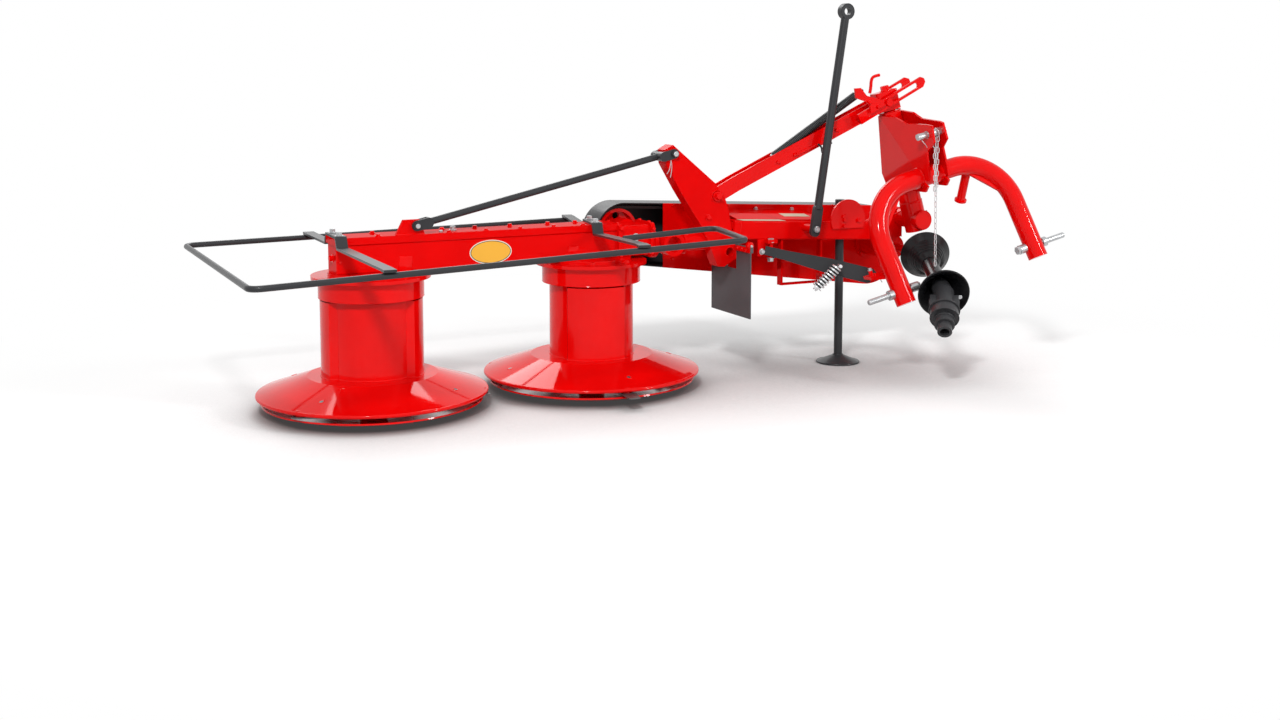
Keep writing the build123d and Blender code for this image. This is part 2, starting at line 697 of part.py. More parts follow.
with BuildPart() as support_leg:
    with BuildSketch(level(LEG_X, LEG_Y, 6)):
        Circle(LEG_R)
    extrude(amount=LEG_TOP_Z - 6)
    with BuildSketch(facing_front(LEG_X, LEG_Y, 0)):
        with BuildLine():
            Polyline((0, 0), (FOOT_R, 0), (FOOT_R, 4), (FOOT_R - 22, 13), (LEG_R + 6, 30), (0, 34), close=True)
        make_face()
    revolve(axis=Axis(spot(LEG_X, LEG_Y, 0), (0, 0, 1)))
write(support_leg, "support_leg")

# Flap behind the knuckle, hung from a bar under the frame
with BuildPart() as flap:
    with BuildSketch(facing_side(FRAME_START_X + 13, 0, 0)):
        Polygon((110, 236), (110, 512), (-195, 512), (-195, 236), align=None)
        with Locations((FRAME_Y, 512)):
            Rectangle(UPRIGHT_WIDTH + 12, 190, mode=Mode.SUBTRACT)
    extrude(amount=4)
    with BuildSketch(facing_side(FRAME_START_X + 17, 0, 0)):
        Polygon((110, 490), (110, 512), (-195, 512), (-195, 490), align=None)
    extrude(amount=8)
    with BuildSketch(facing_side(FRAME_START_X + 17, 0, 0)):
        Polygon((-90, 500), (-90, 540), (-10, 540), (-10, 500), align=None)
    extrude(amount=8)
    add(upright.part, mode=Mode.SUBTRACT)
    add(frame_beam.part, mode=Mode.SUBTRACT)
write(flap, "flap")

# Tie rod: a round rod with a flat two-jawed clevis and its pin at each end
tie_low = (LUG_X, FRAME_Y, LUG_Z)
tie_high = (TIE_TOP[0], FRAME_Y, TIE_TOP[1])
tie_plane, tie_length = along(tie_low, tie_high)
with BuildPart() as tie_rod:
    with BuildSketch(tie_plane.offset(46)):
        Circle(TIE_ROD_R)
    extrude(amount=tie_length - 46 - 40)
    for centre, way, gap in ((tie_low, 1, LUG_PLATE + 1.2), (tie_high, -1, UPRIGHT_WIDTH + 1.2)):
        jaw_plane = Plane(
            origin=spot(centre[0], FRAME_Y + gap / 2 + TIE_JAW, centre[2]),
            x_dir=tie_plane.z_dir * way,
            z_dir=(0, -1, 0),
        )
        with BuildSketch(jaw_plane):
            with Locations((22, 0)):
                SlotOverall(80, 36)
        extrude(amount=gap + 2 * TIE_JAW)
        with BuildSketch(jaw_plane.offset(TIE_JAW)):
            with Locations((8, 0)):
                Rectangle(72, 60)
        extrude(amount=gap, mode=Mode.SUBTRACT)
        with BuildSketch(jaw_plane.offset(-4)):
            Circle(TIE_PIN_R)
        extrude(amount=gap + 2 * TIE_JAW + 10)
        with BuildSketch(jaw_plane.offset(gap + 2 * TIE_JAW)):
            Circle(TIE_PIN_R + 5)
        extrude(amount=6)
write(tie_rod, "tie_rod")

# Lift arm: an open channel, straight inside the upright and then angled to the headstock
slot_point = on_head(SWIVEL_X, 0, SWIVEL_Z)
slot_pin = (slot_point.X + MIDDLE_X, slot_point.Y + MIDDLE_Y, slot_point.Z)
arm_start = (ARM_PIVOT[0], FRAME_Y, ARM_PIVOT[1])
arm_rise = math.atan2(slot_pin[2] - ARM_PIVOT[1], slot_pin[0] - ARM_PIVOT[0])
arm_length = math.hypot(slot_pin[2] - ARM_PIVOT[1], slot_pin[0] - ARM_PIVOT[0])
arm_dir = Vector(math.cos(arm_rise), 0, math.sin(arm_rise))
arm_up = Vector(-math.sin(arm_rise), 0, math.cos(arm_rise))
arm_crank = arm_length - 62
arm_turn = math.degrees(math.atan2(slot_pin[1] - FRAME_Y, arm_crank - ARM_STRAIGHT))


def on_arm(x, y, z):
    return Vector(*spot(*arm_start)) + arm_dir * x + Vector(0, 1, 0) * y + arm_up * z


ARM_FOOT = Plane(origin=on_arm(0, 0, 0), x_dir=arm_dir, z_dir=arm_up)
crank_dir = arm_dir.rotate(Axis((0, 0, 0), tuple(arm_up)), arm_turn)
ARM_CRANK = Plane(origin=on_arm(ARM_STRAIGHT, 0, 0), x_dir=crank_dir, z_dir=arm_up)
crank_length = math.hypot(slot_pin[1] - FRAME_Y, arm_crank - ARM_STRAIGHT)
half_depth = ARM_DEPTH / 2
with BuildPart() as lift_arm:
    with BuildSketch(ARM_FOOT.offset(-half_depth)):
        with Locations((ARM_STRAIGHT / 2, 0)):
            Rectangle(ARM_STRAIGHT + 50, ARM_WIDTH)
    extrude(amount=ARM_DEPTH)
    with BuildSketch(ARM_CRANK.offset(-half_depth)):
        with Locations((crank_length / 2, 0)):
            Rectangle(crank_length, ARM_WIDTH)
    extrude(amount=ARM_DEPTH)
    with BuildSketch(ARM_FOOT.offset(-half_depth + ARM_PLATE)):
        with Locations((ARM_STRAIGHT / 2 - 50, 0)):
            Rectangle(ARM_STRAIGHT + 100, ARM_WIDTH - 2 * ARM_PLATE)
    extrude(amount=ARM_DEPTH, mode=Mode.SUBTRACT)
    with BuildSketch(ARM_CRANK.offset(-half_depth + ARM_PLATE)):
        with Locations((crank_length / 2, 0)):
            Rectangle(crank_length + 12, ARM_WIDTH - 2 * ARM_PLATE)
    extrude(amount=ARM_DEPTH, mode=Mode.SUBTRACT)
    with BuildSketch(facing_front(ARM_PIVOT[0], FRAME_Y + UPRIGHT_WIDTH / 2 + 4, ARM_PIVOT[1])):
        Circle(ARM_PIN_R)
    extrude(amount=UPRIGHT_WIDTH + 8)
    with BuildSketch(facing_front(ARM_PIVOT[0], FRAME_Y - UPRIGHT_WIDTH / 2 - 1, ARM_PIVOT[1])):
        Circle(ARM_PIN_R + 7)
    extrude(amount=8)
write(lift_arm, "lift_arm")

# Twin slotted plates beside the swivel, their spacers against the arm, and the cover plate outside the near one
with BuildPart() as slot_plates:
    for side, way in ((-1, 1), (1, -1)):
        inner_y = side * SLOT_SPREAD
        plate_plane = Plane(
            origin=on_arm(arm_length, slot_pin[1] - FRAME_Y + inner_y, 0),
            x_dir=arm_dir,
            z_dir=(0, side, 0),
        )
        tip_x = SLOT_TRAVEL + SLOT_TIP
        with BuildSketch(plate_plane):
            Polygon(
                (-150, -20), (tip_x - 17, -20), (tip_x, -6), (tip_x, 10), (tip_x - 13, 22), (-150, 22), align=None,
            )
            with Locations((SLOT_TRAVEL / 2, SLOT_RISE)):
                SlotOverall(SLOT_TRAVEL + 2 * SLOT_HALF, 2 * SLOT_HALF, mode=Mode.SUBTRACT)
        extrude(amount=SLOT_PLATE)
        for spacer_x in (-130, -84):
            with BuildSketch(plate_plane):
                with Locations((spacer_x, 0)):
                    Circle(13)
            extrude(amount=-(SLOT_SPREAD - 10))
        if side < 0:
            with BuildSketch(plate_plane.offset(SLOT_PLATE + SEAT_GAP)):
                with Locations((-62, 9)):
                    Circle(10)
            extrude(amount=SAFE_GAP)
            with BuildSketch(plate_plane.offset(SLOT_PLATE + SEAT_GAP + SAFE_GAP)):
                Polygon(
                    (-26, 2), (-32, 28), (-89, 75), (-101, 115), (-127, 126), (-138, 90), (-91, 45), (-100, 2),
                    align=None,
                )
            extrude(amount=SLOT_PLATE)
    with BuildSketch(ARM_CRANK.offset(-half_depth)):
        with Locations((crank_length / 2, 0)):
            Rectangle(crank_length + 60, ARM_WIDTH + 2 * SEAT_GAP)
    extrude(amount=ARM_DEPTH, mode=Mode.SUBTRACT)
write(slot_plates, "slot_plates")

# Relief spring with its hooks, rising out of the arm's channel
SPRING_START = 190
spring_end = crank_length - SPRING_START - 22
ARM_SPRING = Plane(
    origin=ARM_CRANK.from_local_coords(Vector(SPRING_START, 0, 18)),
    x_dir=ARM_CRANK.y_dir,
    z_dir=ARM_CRANK.x_dir.rotate(Axis((0, 0, 0), tuple(ARM_CRANK.y_dir)), -8),
)
with BuildPart() as relief_spring:
    with BuildSketch(ARM_SPRING):
        Circle(17)
    extrude(amount=spring_end)
    with BuildSketch(ARM_SPRING.offset(-24)):
        Circle(6)
    extrude(amount=30)
    with BuildSketch(ARM_CRANK.offset(-half_depth + ARM_PLATE + SEAT_GAP)):
        with Locations((SPRING_START - 22, 0)):
            Circle(6)
    extrude(amount=half_depth - ARM_PLATE + 20)
    with BuildSketch(ARM_SPRING.offset(spring_end - 2)):
        Circle(6)
    extrude(amount=36)
write(relief_spring, "relief_spring")

# Latch bar and its lever on the near side of the arm
latch_plane = Plane(
    origin=ARM_CRANK.from_local_coords(Vector(0, -ARM_WIDTH / 2 - SEAT_GAP, 0)),
    x_dir=ARM_CRANK.x_dir,
    z_dir=-ARM_CRANK.y_dir,
)
with BuildPart() as latch_lever:
    with BuildSketch(latch_plane):
        with Locations(Location((350, -16), -4)):
            SlotOverall(180, 12)
    extrude(amount=5)
    with BuildSketch(latch_plane.offset(2)):
        with Locations((420, -30)):
            Rectangle(8, 90)
    extrude(amount=8)
write(latch_lever, "latch_lever")

# Pivot block: boss on the frame's pin, socket and king pin in one piece
with BuildPart() as pivot_block:
    with BuildSketch(facing_front(KING[0], BOSS_BACK_Y, KING[2])):
        Circle(BOSS_R)
    extrude(amount=BOSS_BACK_Y - BOSS_FRONT_Y)
    with BuildSketch(head_level(0, 0, -46)):
        Circle(KING_SOCKET_R)
    extrude(amount=46 + KING_SOCKET_TOP)
    with BuildSketch(head_level(0, 0, 0)):
        Circle(KING_PIN_R)
    extrude(amount=SWIVEL_Z + 12)
    with BuildSketch(facing_front(KING[0], BOSS_BACK_Y, KING[2])):
        Circle(BOSS_PIN_R + SHAFT_GAP)
    extrude(amount=BOSS_BACK_Y - BOSS_FRONT_Y - 12, mode=Mode.SUBTRACT)
write(pivot_block, "pivot_block")

# Swivel on the king pin's top, with the cross bolt that slides in the slotted plates
with BuildPart() as swivel:
    with BuildSketch(head_level(-8, 0, NECK_TOP)):
        RectangleRounded(100, 2 * SWIVEL_HALF, 14)
    extrude(amount=78)
    with BuildSketch(facing_front(slot_pin[0], slot_pin[1] + SLOT_SPREAD + SLOT_PLATE + 2, slot_pin[2])):
        Circle(SLOT_PIN_R)
    extrude(amount=2 * (SLOT_SPREAD + SLOT_PLATE + 2))
    for head_y in (SLOT_SPREAD + SLOT_PLATE + 10, -SLOT_SPREAD - SLOT_PLATE - 2):
        with BuildSketch(facing_front(slot_pin[0], slot_pin[1] + head_y, slot_pin[2])):
            Circle(15)
        extrude(amount=8)
    with BuildSketch(head_level(0, 0, NECK_TOP - 2)):
        Circle(KING_PIN_R + SHAFT_GAP)
    extrude(amount=SWIVEL_Z + 12 - NECK_TOP + 2 + SEAT_GAP, mode=Mode.SUBTRACT)
write(swivel, "swivel_head")

# Headstock column on the king pin
with BuildPart() as column:
    with BuildSketch(head_level(0, 0, KING_SOCKET_TOP + 1)):
        Circle(COLUMN_R)
        Circle(KING_PIN_R + SHAFT_GAP, mode=Mode.SUBTRACT)
    extrude(amount=NECK_TOP - 6 - KING_SOCKET_TOP - 1)
write(column, "headstock_column")

# Arch: one bent tube with webs in its bends, the shear lug and the rest stub
crown_y, crown_z = ARCH_CROWN
rise_y = crown_y - ARCH_FOOT[0]
rise_z = crown_z - ARCH_FOOT[1]
rise = math.hypot(rise_y, rise_z)
arch_normal = HEAD.y_dir * (-rise_z / rise) + HEAD.z_dir * (rise_y / rise)
ARCH = Plane(origin=on_head(0, crown_y, crown_z), x_dir=HEAD.x_dir, z_dir=arch_normal)
with BuildPart() as arch:
    with BuildLine(ARCH) as arch_path:
        FilletPolyline(
            (-ARCH_HALF, -ARCH_LEG), (-ARCH_HALF, 0), (ARCH_HALF, 0), (ARCH_HALF, -ARCH_LEG),
            radius=ARCH_BEND,
        )
    with BuildSketch(Plane(origin=arch_path.line @ 0, z_dir=arch_path.line % 0)):
        Circle(ARCH_TUBE_R)
    sweep()
    with BuildSketch(ARCH.offset(-5)):
        for side in (-1, 1):
            Polygon((side * 260, -147), (side * 268, -110), (side * 249, -59), (side * 205, -33), (side * 161, -47), align=None)
    extrude(amount=10)
    with BuildSketch(head_level(0, 0, -134)):
        Polygon((-318, -292), (-364, -205), (-364, -146), (-316, -146), (-290, -262), align=None)
    extrude(amount=12)
    with BuildSketch(head_level(-340, -166, -150)):
        Circle(8)
    extrude(amount=46)
    stub_start = on_head(170, -188, 160)
    stub_dir = on_head(150, -126, 42) - stub_start
    with BuildSketch(Plane(origin=stub_start, z_dir=stub_dir)):
        Circle(17)
    extrude(amount=stub_dir.length)
    with BuildSketch(Plane(origin=stub_start + stub_dir, z_dir=stub_dir)):
        Circle(24)
    extrude(amount=8)
    for side in (-1, 1):
        with BuildSketch(head_side(side * 230, *HITCH_PIN)):
            Circle(HITCH_PIN_R + SHAFT_GAP)
        extrude(amount=side * 140, mode=Mode.SUBTRACT)
write(arch, "arch_frame")

with BuildPart() as hitch_pins:
    for side in (-1, 1):
        for start, end, radius in (
            (238, HITCH_TIP - 3, HITCH_PIN_R),
            (240, ARCH_HALF - ARCH_TUBE_R - 2, 18),
            (ARCH_HALF + ARCH_TUBE_R + 1, HITCH_SHOULDER, 19),
        ):
            with BuildSketch(head_side(side * start, *HITCH_PIN)):
                Circle(radius)
            extrude(amount=side * (end - start))
        with BuildSketch(head_side(side * (HITCH_TIP - 3), *HITCH_PIN)):
            Circle(HITCH_PIN_R)
        extrude(amount=side * 4, taper=35)
write(hitch_pins, "lower_hitch_pins")

# Mast plates either side of the column, round the arch's crown; each one is bent inwards at a crease
mast_rear = (
    (6, 440), (80, 205), (62, 140), (-100, 134), (-214, 128), (-240, 150), (-190, 185), (-190, 202), (-6, 437),
)
mast_front = (
    (-4, 438.5), (-105, 428), (-165, 402), (-300, 390), (-326, 384), (-323, 319), (-270, 285), (-252, 170),
    (-190, 185), (-188.5, 201),
)
(crease_y, crease_z), crease_top = MAST_CREASE
crease_length = math.hypot(crease_top[0] - crease_y, crease_top[1] - crease_z)
crease_cos = (crease_top[0] - crease_y) / crease_length
crease_sin = (crease_top[1] - crease_z) / crease_length
crease_dir = HEAD.y_dir * crease_cos + HEAD.z_dir * crease_sin
with BuildPart() as mast:
    for side in (-1, 1):
        with BuildSketch(head_side(side * MAST_HALF, 0, 0)):
            Polygon(*mast_rear, align=None)
        extrude(amount=side * MAST_PLATE)
        outward = (HEAD.x_dir * side).rotate(Axis((0, 0, 0), tuple(crease_dir)), -side * MAST_BEND)
        bent_plane = Plane(
            origin=on_head(side * MAST_HALF, crease_y, crease_z), x_dir=crease_dir, z_dir=outward,
        )
        bent_outline = [
            (
                (y - crease_y) * crease_cos + (z - crease_z) * crease_sin,
                side * ((z - crease_z) * crease_cos - (y - crease_y) * crease_sin),
            )
            for y, z in mast_front
        ]
        with BuildSketch(bent_plane):
            Polygon(*bent_outline, align=None)
        extrude(amount=MAST_PLATE)
    with BuildSketch(head_level(0, 0, 180)):
        with Locations((0, COLUMN_R + 4.3)):
            Rectangle(2 * MAST_HALF + 1, 8)
    extrude(amount=120)
    for (hole_y, hole_z), hole_r in ((ARCH_CROWN, ARCH_TUBE_R + SEAT_GAP), (TOP_PIN, TOP_SHANK_R + SHAFT_GAP)):
        with BuildSketch(head_side(-100, hole_y, hole_z)):
            Circle(hole_r)
        extrude(amount=200, mode=Mode.SUBTRACT)
write(mast, "mast_plates")

with BuildPart() as top_link_pin:
    with BuildSketch(head_side(TOP_PIN_TIP, *TOP_PIN)):
        Circle(TOP_PIN_R)
    extrude(amount=TOP_PIN_SHOULDER - TOP_PIN_TIP)
    with BuildSketch(head_side(TOP_PIN_SHOULDER, *TOP_PIN)):
        Circle(TOP_SHANK_R)
    extrude(amount=80)
    with BuildSketch(head_side(37, *TOP_PIN)):
        Circle(18)
    extrude(amount=7)
write(top_link_pin, "top_link_pin")

# Breakaway bar from the frame to the shear lug, with its spring and the strap loop behind it
bar_start = (1563, -106, 478)
bar_end = (1930, -298, 377)
bar_plane, bar_length = along(bar_start, bar_end)
with BuildPart() as breakaway_bar:
    with BuildSketch(Plane(origin=bar_plane.origin - bar_plane.y_dir * 13, x_dir=bar_plane.z_dir, z_dir=bar_plane.y_dir)):
        Polygon(
            (-24, -17), (60, -19), (240, -30), (bar_length - 24, -30), (bar_length, -12), (bar_length, 10),
            (bar_length - 34, 30), (240, 30), (60, 19), (-24, 17),
            align=None,
        )
    extrude(amount=26)
    with BuildSketch(level(bar_start[0], bar_start[1], 400)):
        Circle(9.3)
    extrude(amount=200, mode=Mode.SUBTRACT)
write(breakaway_bar, "breakaway_bar")

with BuildPart() as bar_bracket:
    with BuildSketch(level(bar_start[0], bar_start[1], 455)):
        Circle(9)
    extrude(amount=60)
    with BuildSketch(level(bar_start[0], bar_start[1] + 22, 512)):
        Rectangle(44, 76)
    extrude(amount=50)
    add(frame_beam.part, mode=Mode.SUBTRACT)
    with BuildSketch(facing_front(bar_start[0], FRAME_Y - 140, 561)):
        Rectangle(100, 70)
    extrude(amount=-95, mode=Mode.SUBTRACT)
write(bar_bracket, "bar_bracket")

spring_low = (1687, -227, 335)
spring_high = (1774, -262, 428)
spring_plane, spring_length = along(spring_low, spring_high)
with BuildPart() as breakaway_spring:
    with BuildSketch(spring_plane):
        Circle(7)
    extrude(amount=spring_length + 6)
    with BuildSketch(spring_plane.offset(20)):
        Circle(21)
    extrude(amount=spring_length - 20)
    with BuildSketch(Plane(origin=spot(*spring_high), z_dir=-bar_plane.y_dir)):
        Circle(7)
    extrude(amount=60)
    add(breakaway_bar.part, mode=Mode.SUBTRACT)
write(breakaway_spring, "breakaway_spring")

with BuildPart() as strap_loop:
    with BuildSketch(facing_side(1624, 0, 0)):
        with Locations((FRAME_Y - 20, 341)):
            Rectangle(30, 6)
    extrude(amount=190)
    for leg_x in (1624, 1806):
        with BuildSketch(facing_side(leg_x, 0, 0)):
            with Locations((FRAME_Y - 20, 446)):
                Rectangle(30, 216)
        extrude(amount=8)
    add(frame_beam.part, mode=Mode.SUBTRACT)
write(strap_loop, "strap_loop")

# Transport rod on its pin at the frame's front
rod_top = (ROD_EYE[0], ROD_PIN[1], ROD_EYE[1])
rod_plane, rod_length = along(ROD_PIN, rod_top)
with BuildPart() as rod_pin:
    with BuildSketch(facing_front(ROD_PIN[0], ROD_PIN[1] + ROD_FOOT / 2 + 4, ROD_PIN[2])):
        Circle(ROD_BOLT_R)
    extrude(amount=ROD_FOOT + 8)
    with BuildSketch(facing_front(ROD_PIN[0], ROD_PIN[1] - ROD_FOOT / 2 - SEAT_GAP, ROD_PIN[2])):
        Circle(ROD_BOLT_R + 4)
    extrude(amount=8)
    add(frame_beam.part, mode=Mode.SUBTRACT)
write(rod_pin, "rod_pin")

rod_flat = Plane(origin=rod_plane.origin, x_dir=rod_plane.z_dir, z_dir=(0, -1, 0))
with BuildPart() as transport_rod:
    with BuildSketch(rod_plane.offset(ROD_FOOT_REACH - 12)):
        Circle(ROD_R)
    extrude(amount=rod_length - ROD_FOOT_REACH + 12 - EYE_R + 6)
    with BuildSketch(rod_flat.offset(-ROD_FOOT / 2)):
        with Locations((ROD_FOOT_REACH / 2 - 12, 0)):
            SlotOverall(ROD_FOOT_REACH + 36, ROD_FOOT_WIDTH)
        Circle(ROD_BOLT_R + SHAFT_GAP, mode=Mode.SUBTRACT)
    extrude(amount=ROD_FOOT)
    with BuildSketch(rod_flat.offset(-13)):
        with Locations((rod_length, 0)):
            Circle(EYE_R)
    extrude(amount=26)
    with BuildSketch(rod_flat.offset(-13)):
        with Locations((rod_length, 0)):
            Circle(EYE_HOLE_R)
    extrude(amount=26, mode=Mode.SUBTRACT)
write(transport_rod, "transport_rod")

# Guard hoop and the two flat straps that carry it
hoop_points = (
    (972, 445, 579.5), (-554, 452, 556.5), (-564, -716, 560), (1084, -744, 620), (1159, -387, 620), (797, -380, 600),
)
with BuildPart() as hoop:
    with BuildLine() as hoop_path:
        FilletPolyline(*[spot(*point) for point in hoop_points], radius=HOOP_BEND)
    with BuildSketch(Plane(origin=hoop_path.line @ 0, z_dir=hoop_path.line % 0)):
        Circle(HOOP_R)
    sweep()
write(hoop, "guard_hoop")

for name, strap_x, strap_turn, front_reach, rear_reach, front_z, rear_z in (
    ("outer", OUTER_STRAP_X, OUTER_STRAP_TURN, 722, 452, 577.8, 564.3),
    ("inner", INNER_STRAP_X, INNER_STRAP_TURN, 748, 452, 606.6, 580.1),
):
    strap_centre = spot(strap_x, 0, 0)
    strap_plane = Plane(origin=strap_centre, x_dir=(*turned(0, 1, strap_turn), 0), z_dir=(*turned(1, 0, strap_turn), 0))
    rest_z = cover_top + SEAT_GAP
    front_top = front_z + HOOP_R + SEAT_GAP
    rear_top = rear_z + HOOP_R + SEAT_GAP
    with BuildPart() as strap:
        with BuildSketch(strap_plane.offset(-STRAP_WIDTH / 2)):
            Polygon(
                (-front_reach - 20, front_top), (-front_reach + 30, front_top), (-92, rest_z - STRAP_DROP),
                (-72, rest_z), (72, rest_z), (92, rest_z - STRAP_DROP), (rear_reach - 30, rear_top),
                (rear_reach + 18, rear_top), (rear_reach + 18, rear_top + STRAP_PLATE),
                (rear_reach - 32, rear_top + STRAP_PLATE), (98, rest_z - STRAP_DROP + STRAP_PLATE),
                (77, rest_z + STRAP_PLATE), (-77, rest_z + STRAP_PLATE),
                (-98, rest_z - STRAP_DROP + STRAP_PLATE), (-front_reach + 32, front_top + STRAP_PLATE),
                (-front_reach - 20, front_top + STRAP_PLATE),
                align=None,
            )
        extrude(amount=STRAP_WIDTH)
    write(strap, name + "_hoop_strap")

# Power shaft hanging on its chain: guard tube with two bells, and the joints inside it
shaft_plane, shaft_length = along(SHAFT_BACK, SHAFT_FRONT)
shaft_section = Plane(
    origin=shaft_plane.origin,
    x_dir=shaft_plane.x_dir,
    z_dir=shaft_plane.x_dir.cross(shaft_plane.z_dir),
)
shaft_axis = Axis(tuple(shaft_plane.origin), tuple(shaft_plane.z_dir))
with BuildPart() as shaft_guard:
    with BuildSketch(shaft_section):
        Polygon(
            (BELL_R, 0), (BELL_R, 6), (76, 30), (46, BELL_DEPTH - 18), (TUBE_R, BELL_DEPTH),
            (TUBE_R, shaft_length - BELL_DEPTH), (46, shaft_length - BELL_DEPTH + 18), (76, shaft_length - 30),
            (BELL_R, shaft_length - 6), (BELL_R, shaft_length), (BELL_R - 4, shaft_length),
            (BELL_R - 4, shaft_length - 5), (72, shaft_length - 27), (42, shaft_length - BELL_DEPTH + 22),
            (TUBE_R - 4, shaft_length - BELL_DEPTH), (TUBE_R - 4, BELL_DEPTH), (42, BELL_DEPTH - 22),
            (72, 27), (BELL_R - 4, 5), (BELL_R - 4, 0),
            align=None,
        )
    revolve(axis=shaft_axis)
write(shaft_guard, "shaft_guard")

yoke_plane, yoke_length = along(SHAFT_FRONT, YOKE_END)
with BuildPart() as shaft_joint:
    for start, end, radius in (
        (8, 58, 36), (58, shaft_length - 60, TUBE_R - 4.3), (shaft_length - 60, shaft_length, 36),
    ):
        with BuildSketch(shaft_plane.offset(start)):
            Circle(radius)
        extrude(amount=end - start)
    for start, end, radius in (
        (-10, 90, 37), (88, 96, 56), (96, 134, 52), (132, yoke_length - 32, 35), (yoke_length - 34, yoke_length, 27),
    ):
        with BuildSketch(yoke_plane.offset(start)):
            Circle(radius)
        extrude(amount=end - start)
    with BuildSketch(yoke_plane.offset(yoke_length)):
        Circle(17.4)
    extrude(amount=-70, mode=Mode.SUBTRACT)
write(shaft_joint, "shaft_joint")

chain_top = on_head(3, TOP_PIN[0] - 2, TOP_PIN[1] - TOP_SHANK_R - 1.25)
chain_share = 0.54
chain_low = Vector(*spot(*[b + (f - b) * chain_share for b, f in zip(SHAFT_BACK, SHAFT_FRONT)]))
chain_low = chain_low + Vector(0, 0, TUBE_R + 2.4)
with BuildPart() as chain:
    with BuildSketch(Plane(origin=chain_top, z_dir=chain_low - chain_top)):
        Circle(4)
    extrude(amount=(chain_low - chain_top).length)
write(chain, "lift_chain")

everything = Compound(
    children=[
        piece.part for piece in (
            hoop, arch, hitch_pins, transport_rod, belts, guard_tray, support_leg, shaft_joint, slot_plates,
            gear_beam,
        )
    ]
)
box = everything.bounding_box()
print("slot pin", slot_pin, "arm rise", math.degrees(arm_rise), "king axis", king_up, "head x", head_x)
print("box", box.min, box.max, "middle", (box.min + box.max) * 0.5)
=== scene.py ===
import bmesh
import bpy
from math import cos, pi, radians, sin
from mathutils import Matrix, Vector


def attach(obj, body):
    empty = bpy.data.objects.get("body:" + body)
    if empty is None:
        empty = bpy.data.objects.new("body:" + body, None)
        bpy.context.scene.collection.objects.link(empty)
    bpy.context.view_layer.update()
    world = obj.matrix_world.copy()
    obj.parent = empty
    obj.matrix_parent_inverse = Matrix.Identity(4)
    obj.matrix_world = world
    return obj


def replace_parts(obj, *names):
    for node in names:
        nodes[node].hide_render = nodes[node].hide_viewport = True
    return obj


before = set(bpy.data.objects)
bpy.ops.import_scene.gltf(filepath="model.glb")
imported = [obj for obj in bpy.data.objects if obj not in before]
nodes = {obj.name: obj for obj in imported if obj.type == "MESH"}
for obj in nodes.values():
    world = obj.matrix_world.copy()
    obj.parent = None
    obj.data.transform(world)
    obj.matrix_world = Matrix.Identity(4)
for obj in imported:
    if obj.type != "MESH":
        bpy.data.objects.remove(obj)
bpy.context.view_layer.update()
scene = bpy.context.scene

# Camera at the photograph's place: before the machine and to its outer end, at eye height,
# looking slightly down. The sensor is 36 mm wide on a frame of 1280 by 720.
camera_data = bpy.data.cameras.new("camera")
camera_data.lens = 42.08
camera_data.sensor_width = 36
camera_data.shift_y = -0.1121
camera = bpy.data.objects.new("camera", camera_data)
camera.location = (-2.4778, -4.922, 1.234)
camera_dip, camera_heading = 6.11, -26.14
camera.rotation_euler = (radians(90 - camera_dip), 0, radians(camera_heading))
scene.collection.objects.link(camera)
scene.camera = camera

# Studio: a white floor that fades into the white behind it; near the machine its colour is darkened by
# a painted shadow from ambient occlusion, on top of the lamps' own shadows. A soft pale world, and three
# soft lamps.
scene.view_settings.view_transform = "Standard"
floor_bm = bmesh.new()
bmesh.ops.create_grid(floor_bm, x_segments=1, y_segments=1, size=30)
floor_mesh = bpy.data.meshes.new("floor")
floor_bm.to_mesh(floor_mesh)
floor_bm.free()
floor = bpy.data.objects.new("floor", floor_mesh)
scene.collection.objects.link(floor)

floor_paint = bpy.data.materials.new("studio_floor")
floor_paint.use_nodes = True
tree = floor_paint.node_tree
tree.nodes.clear()
diffuse = tree.nodes.new("ShaderNodeBsdfDiffuse")
diffuse.inputs["Color"].default_value = (0.62, 0.62, 0.62, 1)
# Painted shadow: ambient occlusion darkens the floor's own colour where parts crowd it, down to 0.04.
shade_occlusion = tree.nodes.new("ShaderNodeAmbientOcclusion")
shade_occlusion.inputs["Distance"].default_value = 0.85
painted_shade_ramp = tree.nodes.new("ShaderNodeMapRange")
painted_shade_ramp.inputs["From Min"].default_value = 0.15
painted_shade_ramp.inputs["From Max"].default_value = 0.95
painted_shade_ramp.inputs["To Min"].default_value = 0.04
painted_shade_ramp.inputs["To Max"].default_value = 0.95
tree.links.new(shade_occlusion.outputs["AO"], painted_shade_ramp.inputs["Value"])
painted_shadow_floor = tree.nodes.new("ShaderNodeBsdfDiffuse")
tree.links.new(painted_shade_ramp.outputs["Result"], painted_shadow_floor.inputs["Color"])
white = tree.nodes.new("ShaderNodeEmission")
white.inputs["Color"].default_value = (1, 1, 1, 1)
white.inputs["Strength"].default_value = 1.0
glow = tree.nodes.new("ShaderNodeEmission")
glow.inputs["Color"].default_value = (1, 1, 1, 1)
glow.inputs["Strength"].default_value = 0.05
lit = tree.nodes.new("ShaderNodeAddShader")
tree.links.new(painted_shadow_floor.outputs[0], lit.inputs[0])
tree.links.new(glow.outputs[0], lit.inputs[1])
where = tree.nodes.new("ShaderNodeTexCoord")
reach = tree.nodes.new("ShaderNodeVectorMath")
reach.operation = "LENGTH"
tree.links.new(where.outputs["Object"], reach.inputs[0])
fade = tree.nodes.new("ShaderNodeMapRange")
fade.interpolation_type = "SMOOTHSTEP"
fade.inputs["From Min"].default_value = 1.8
fade.inputs["From Max"].default_value = 3.0
tree.links.new(reach.outputs["Value"], fade.inputs["Value"])
seen_floor = tree.nodes.new("ShaderNodeMixShader")
tree.links.new(fade.outputs["Result"], seen_floor.inputs[0])
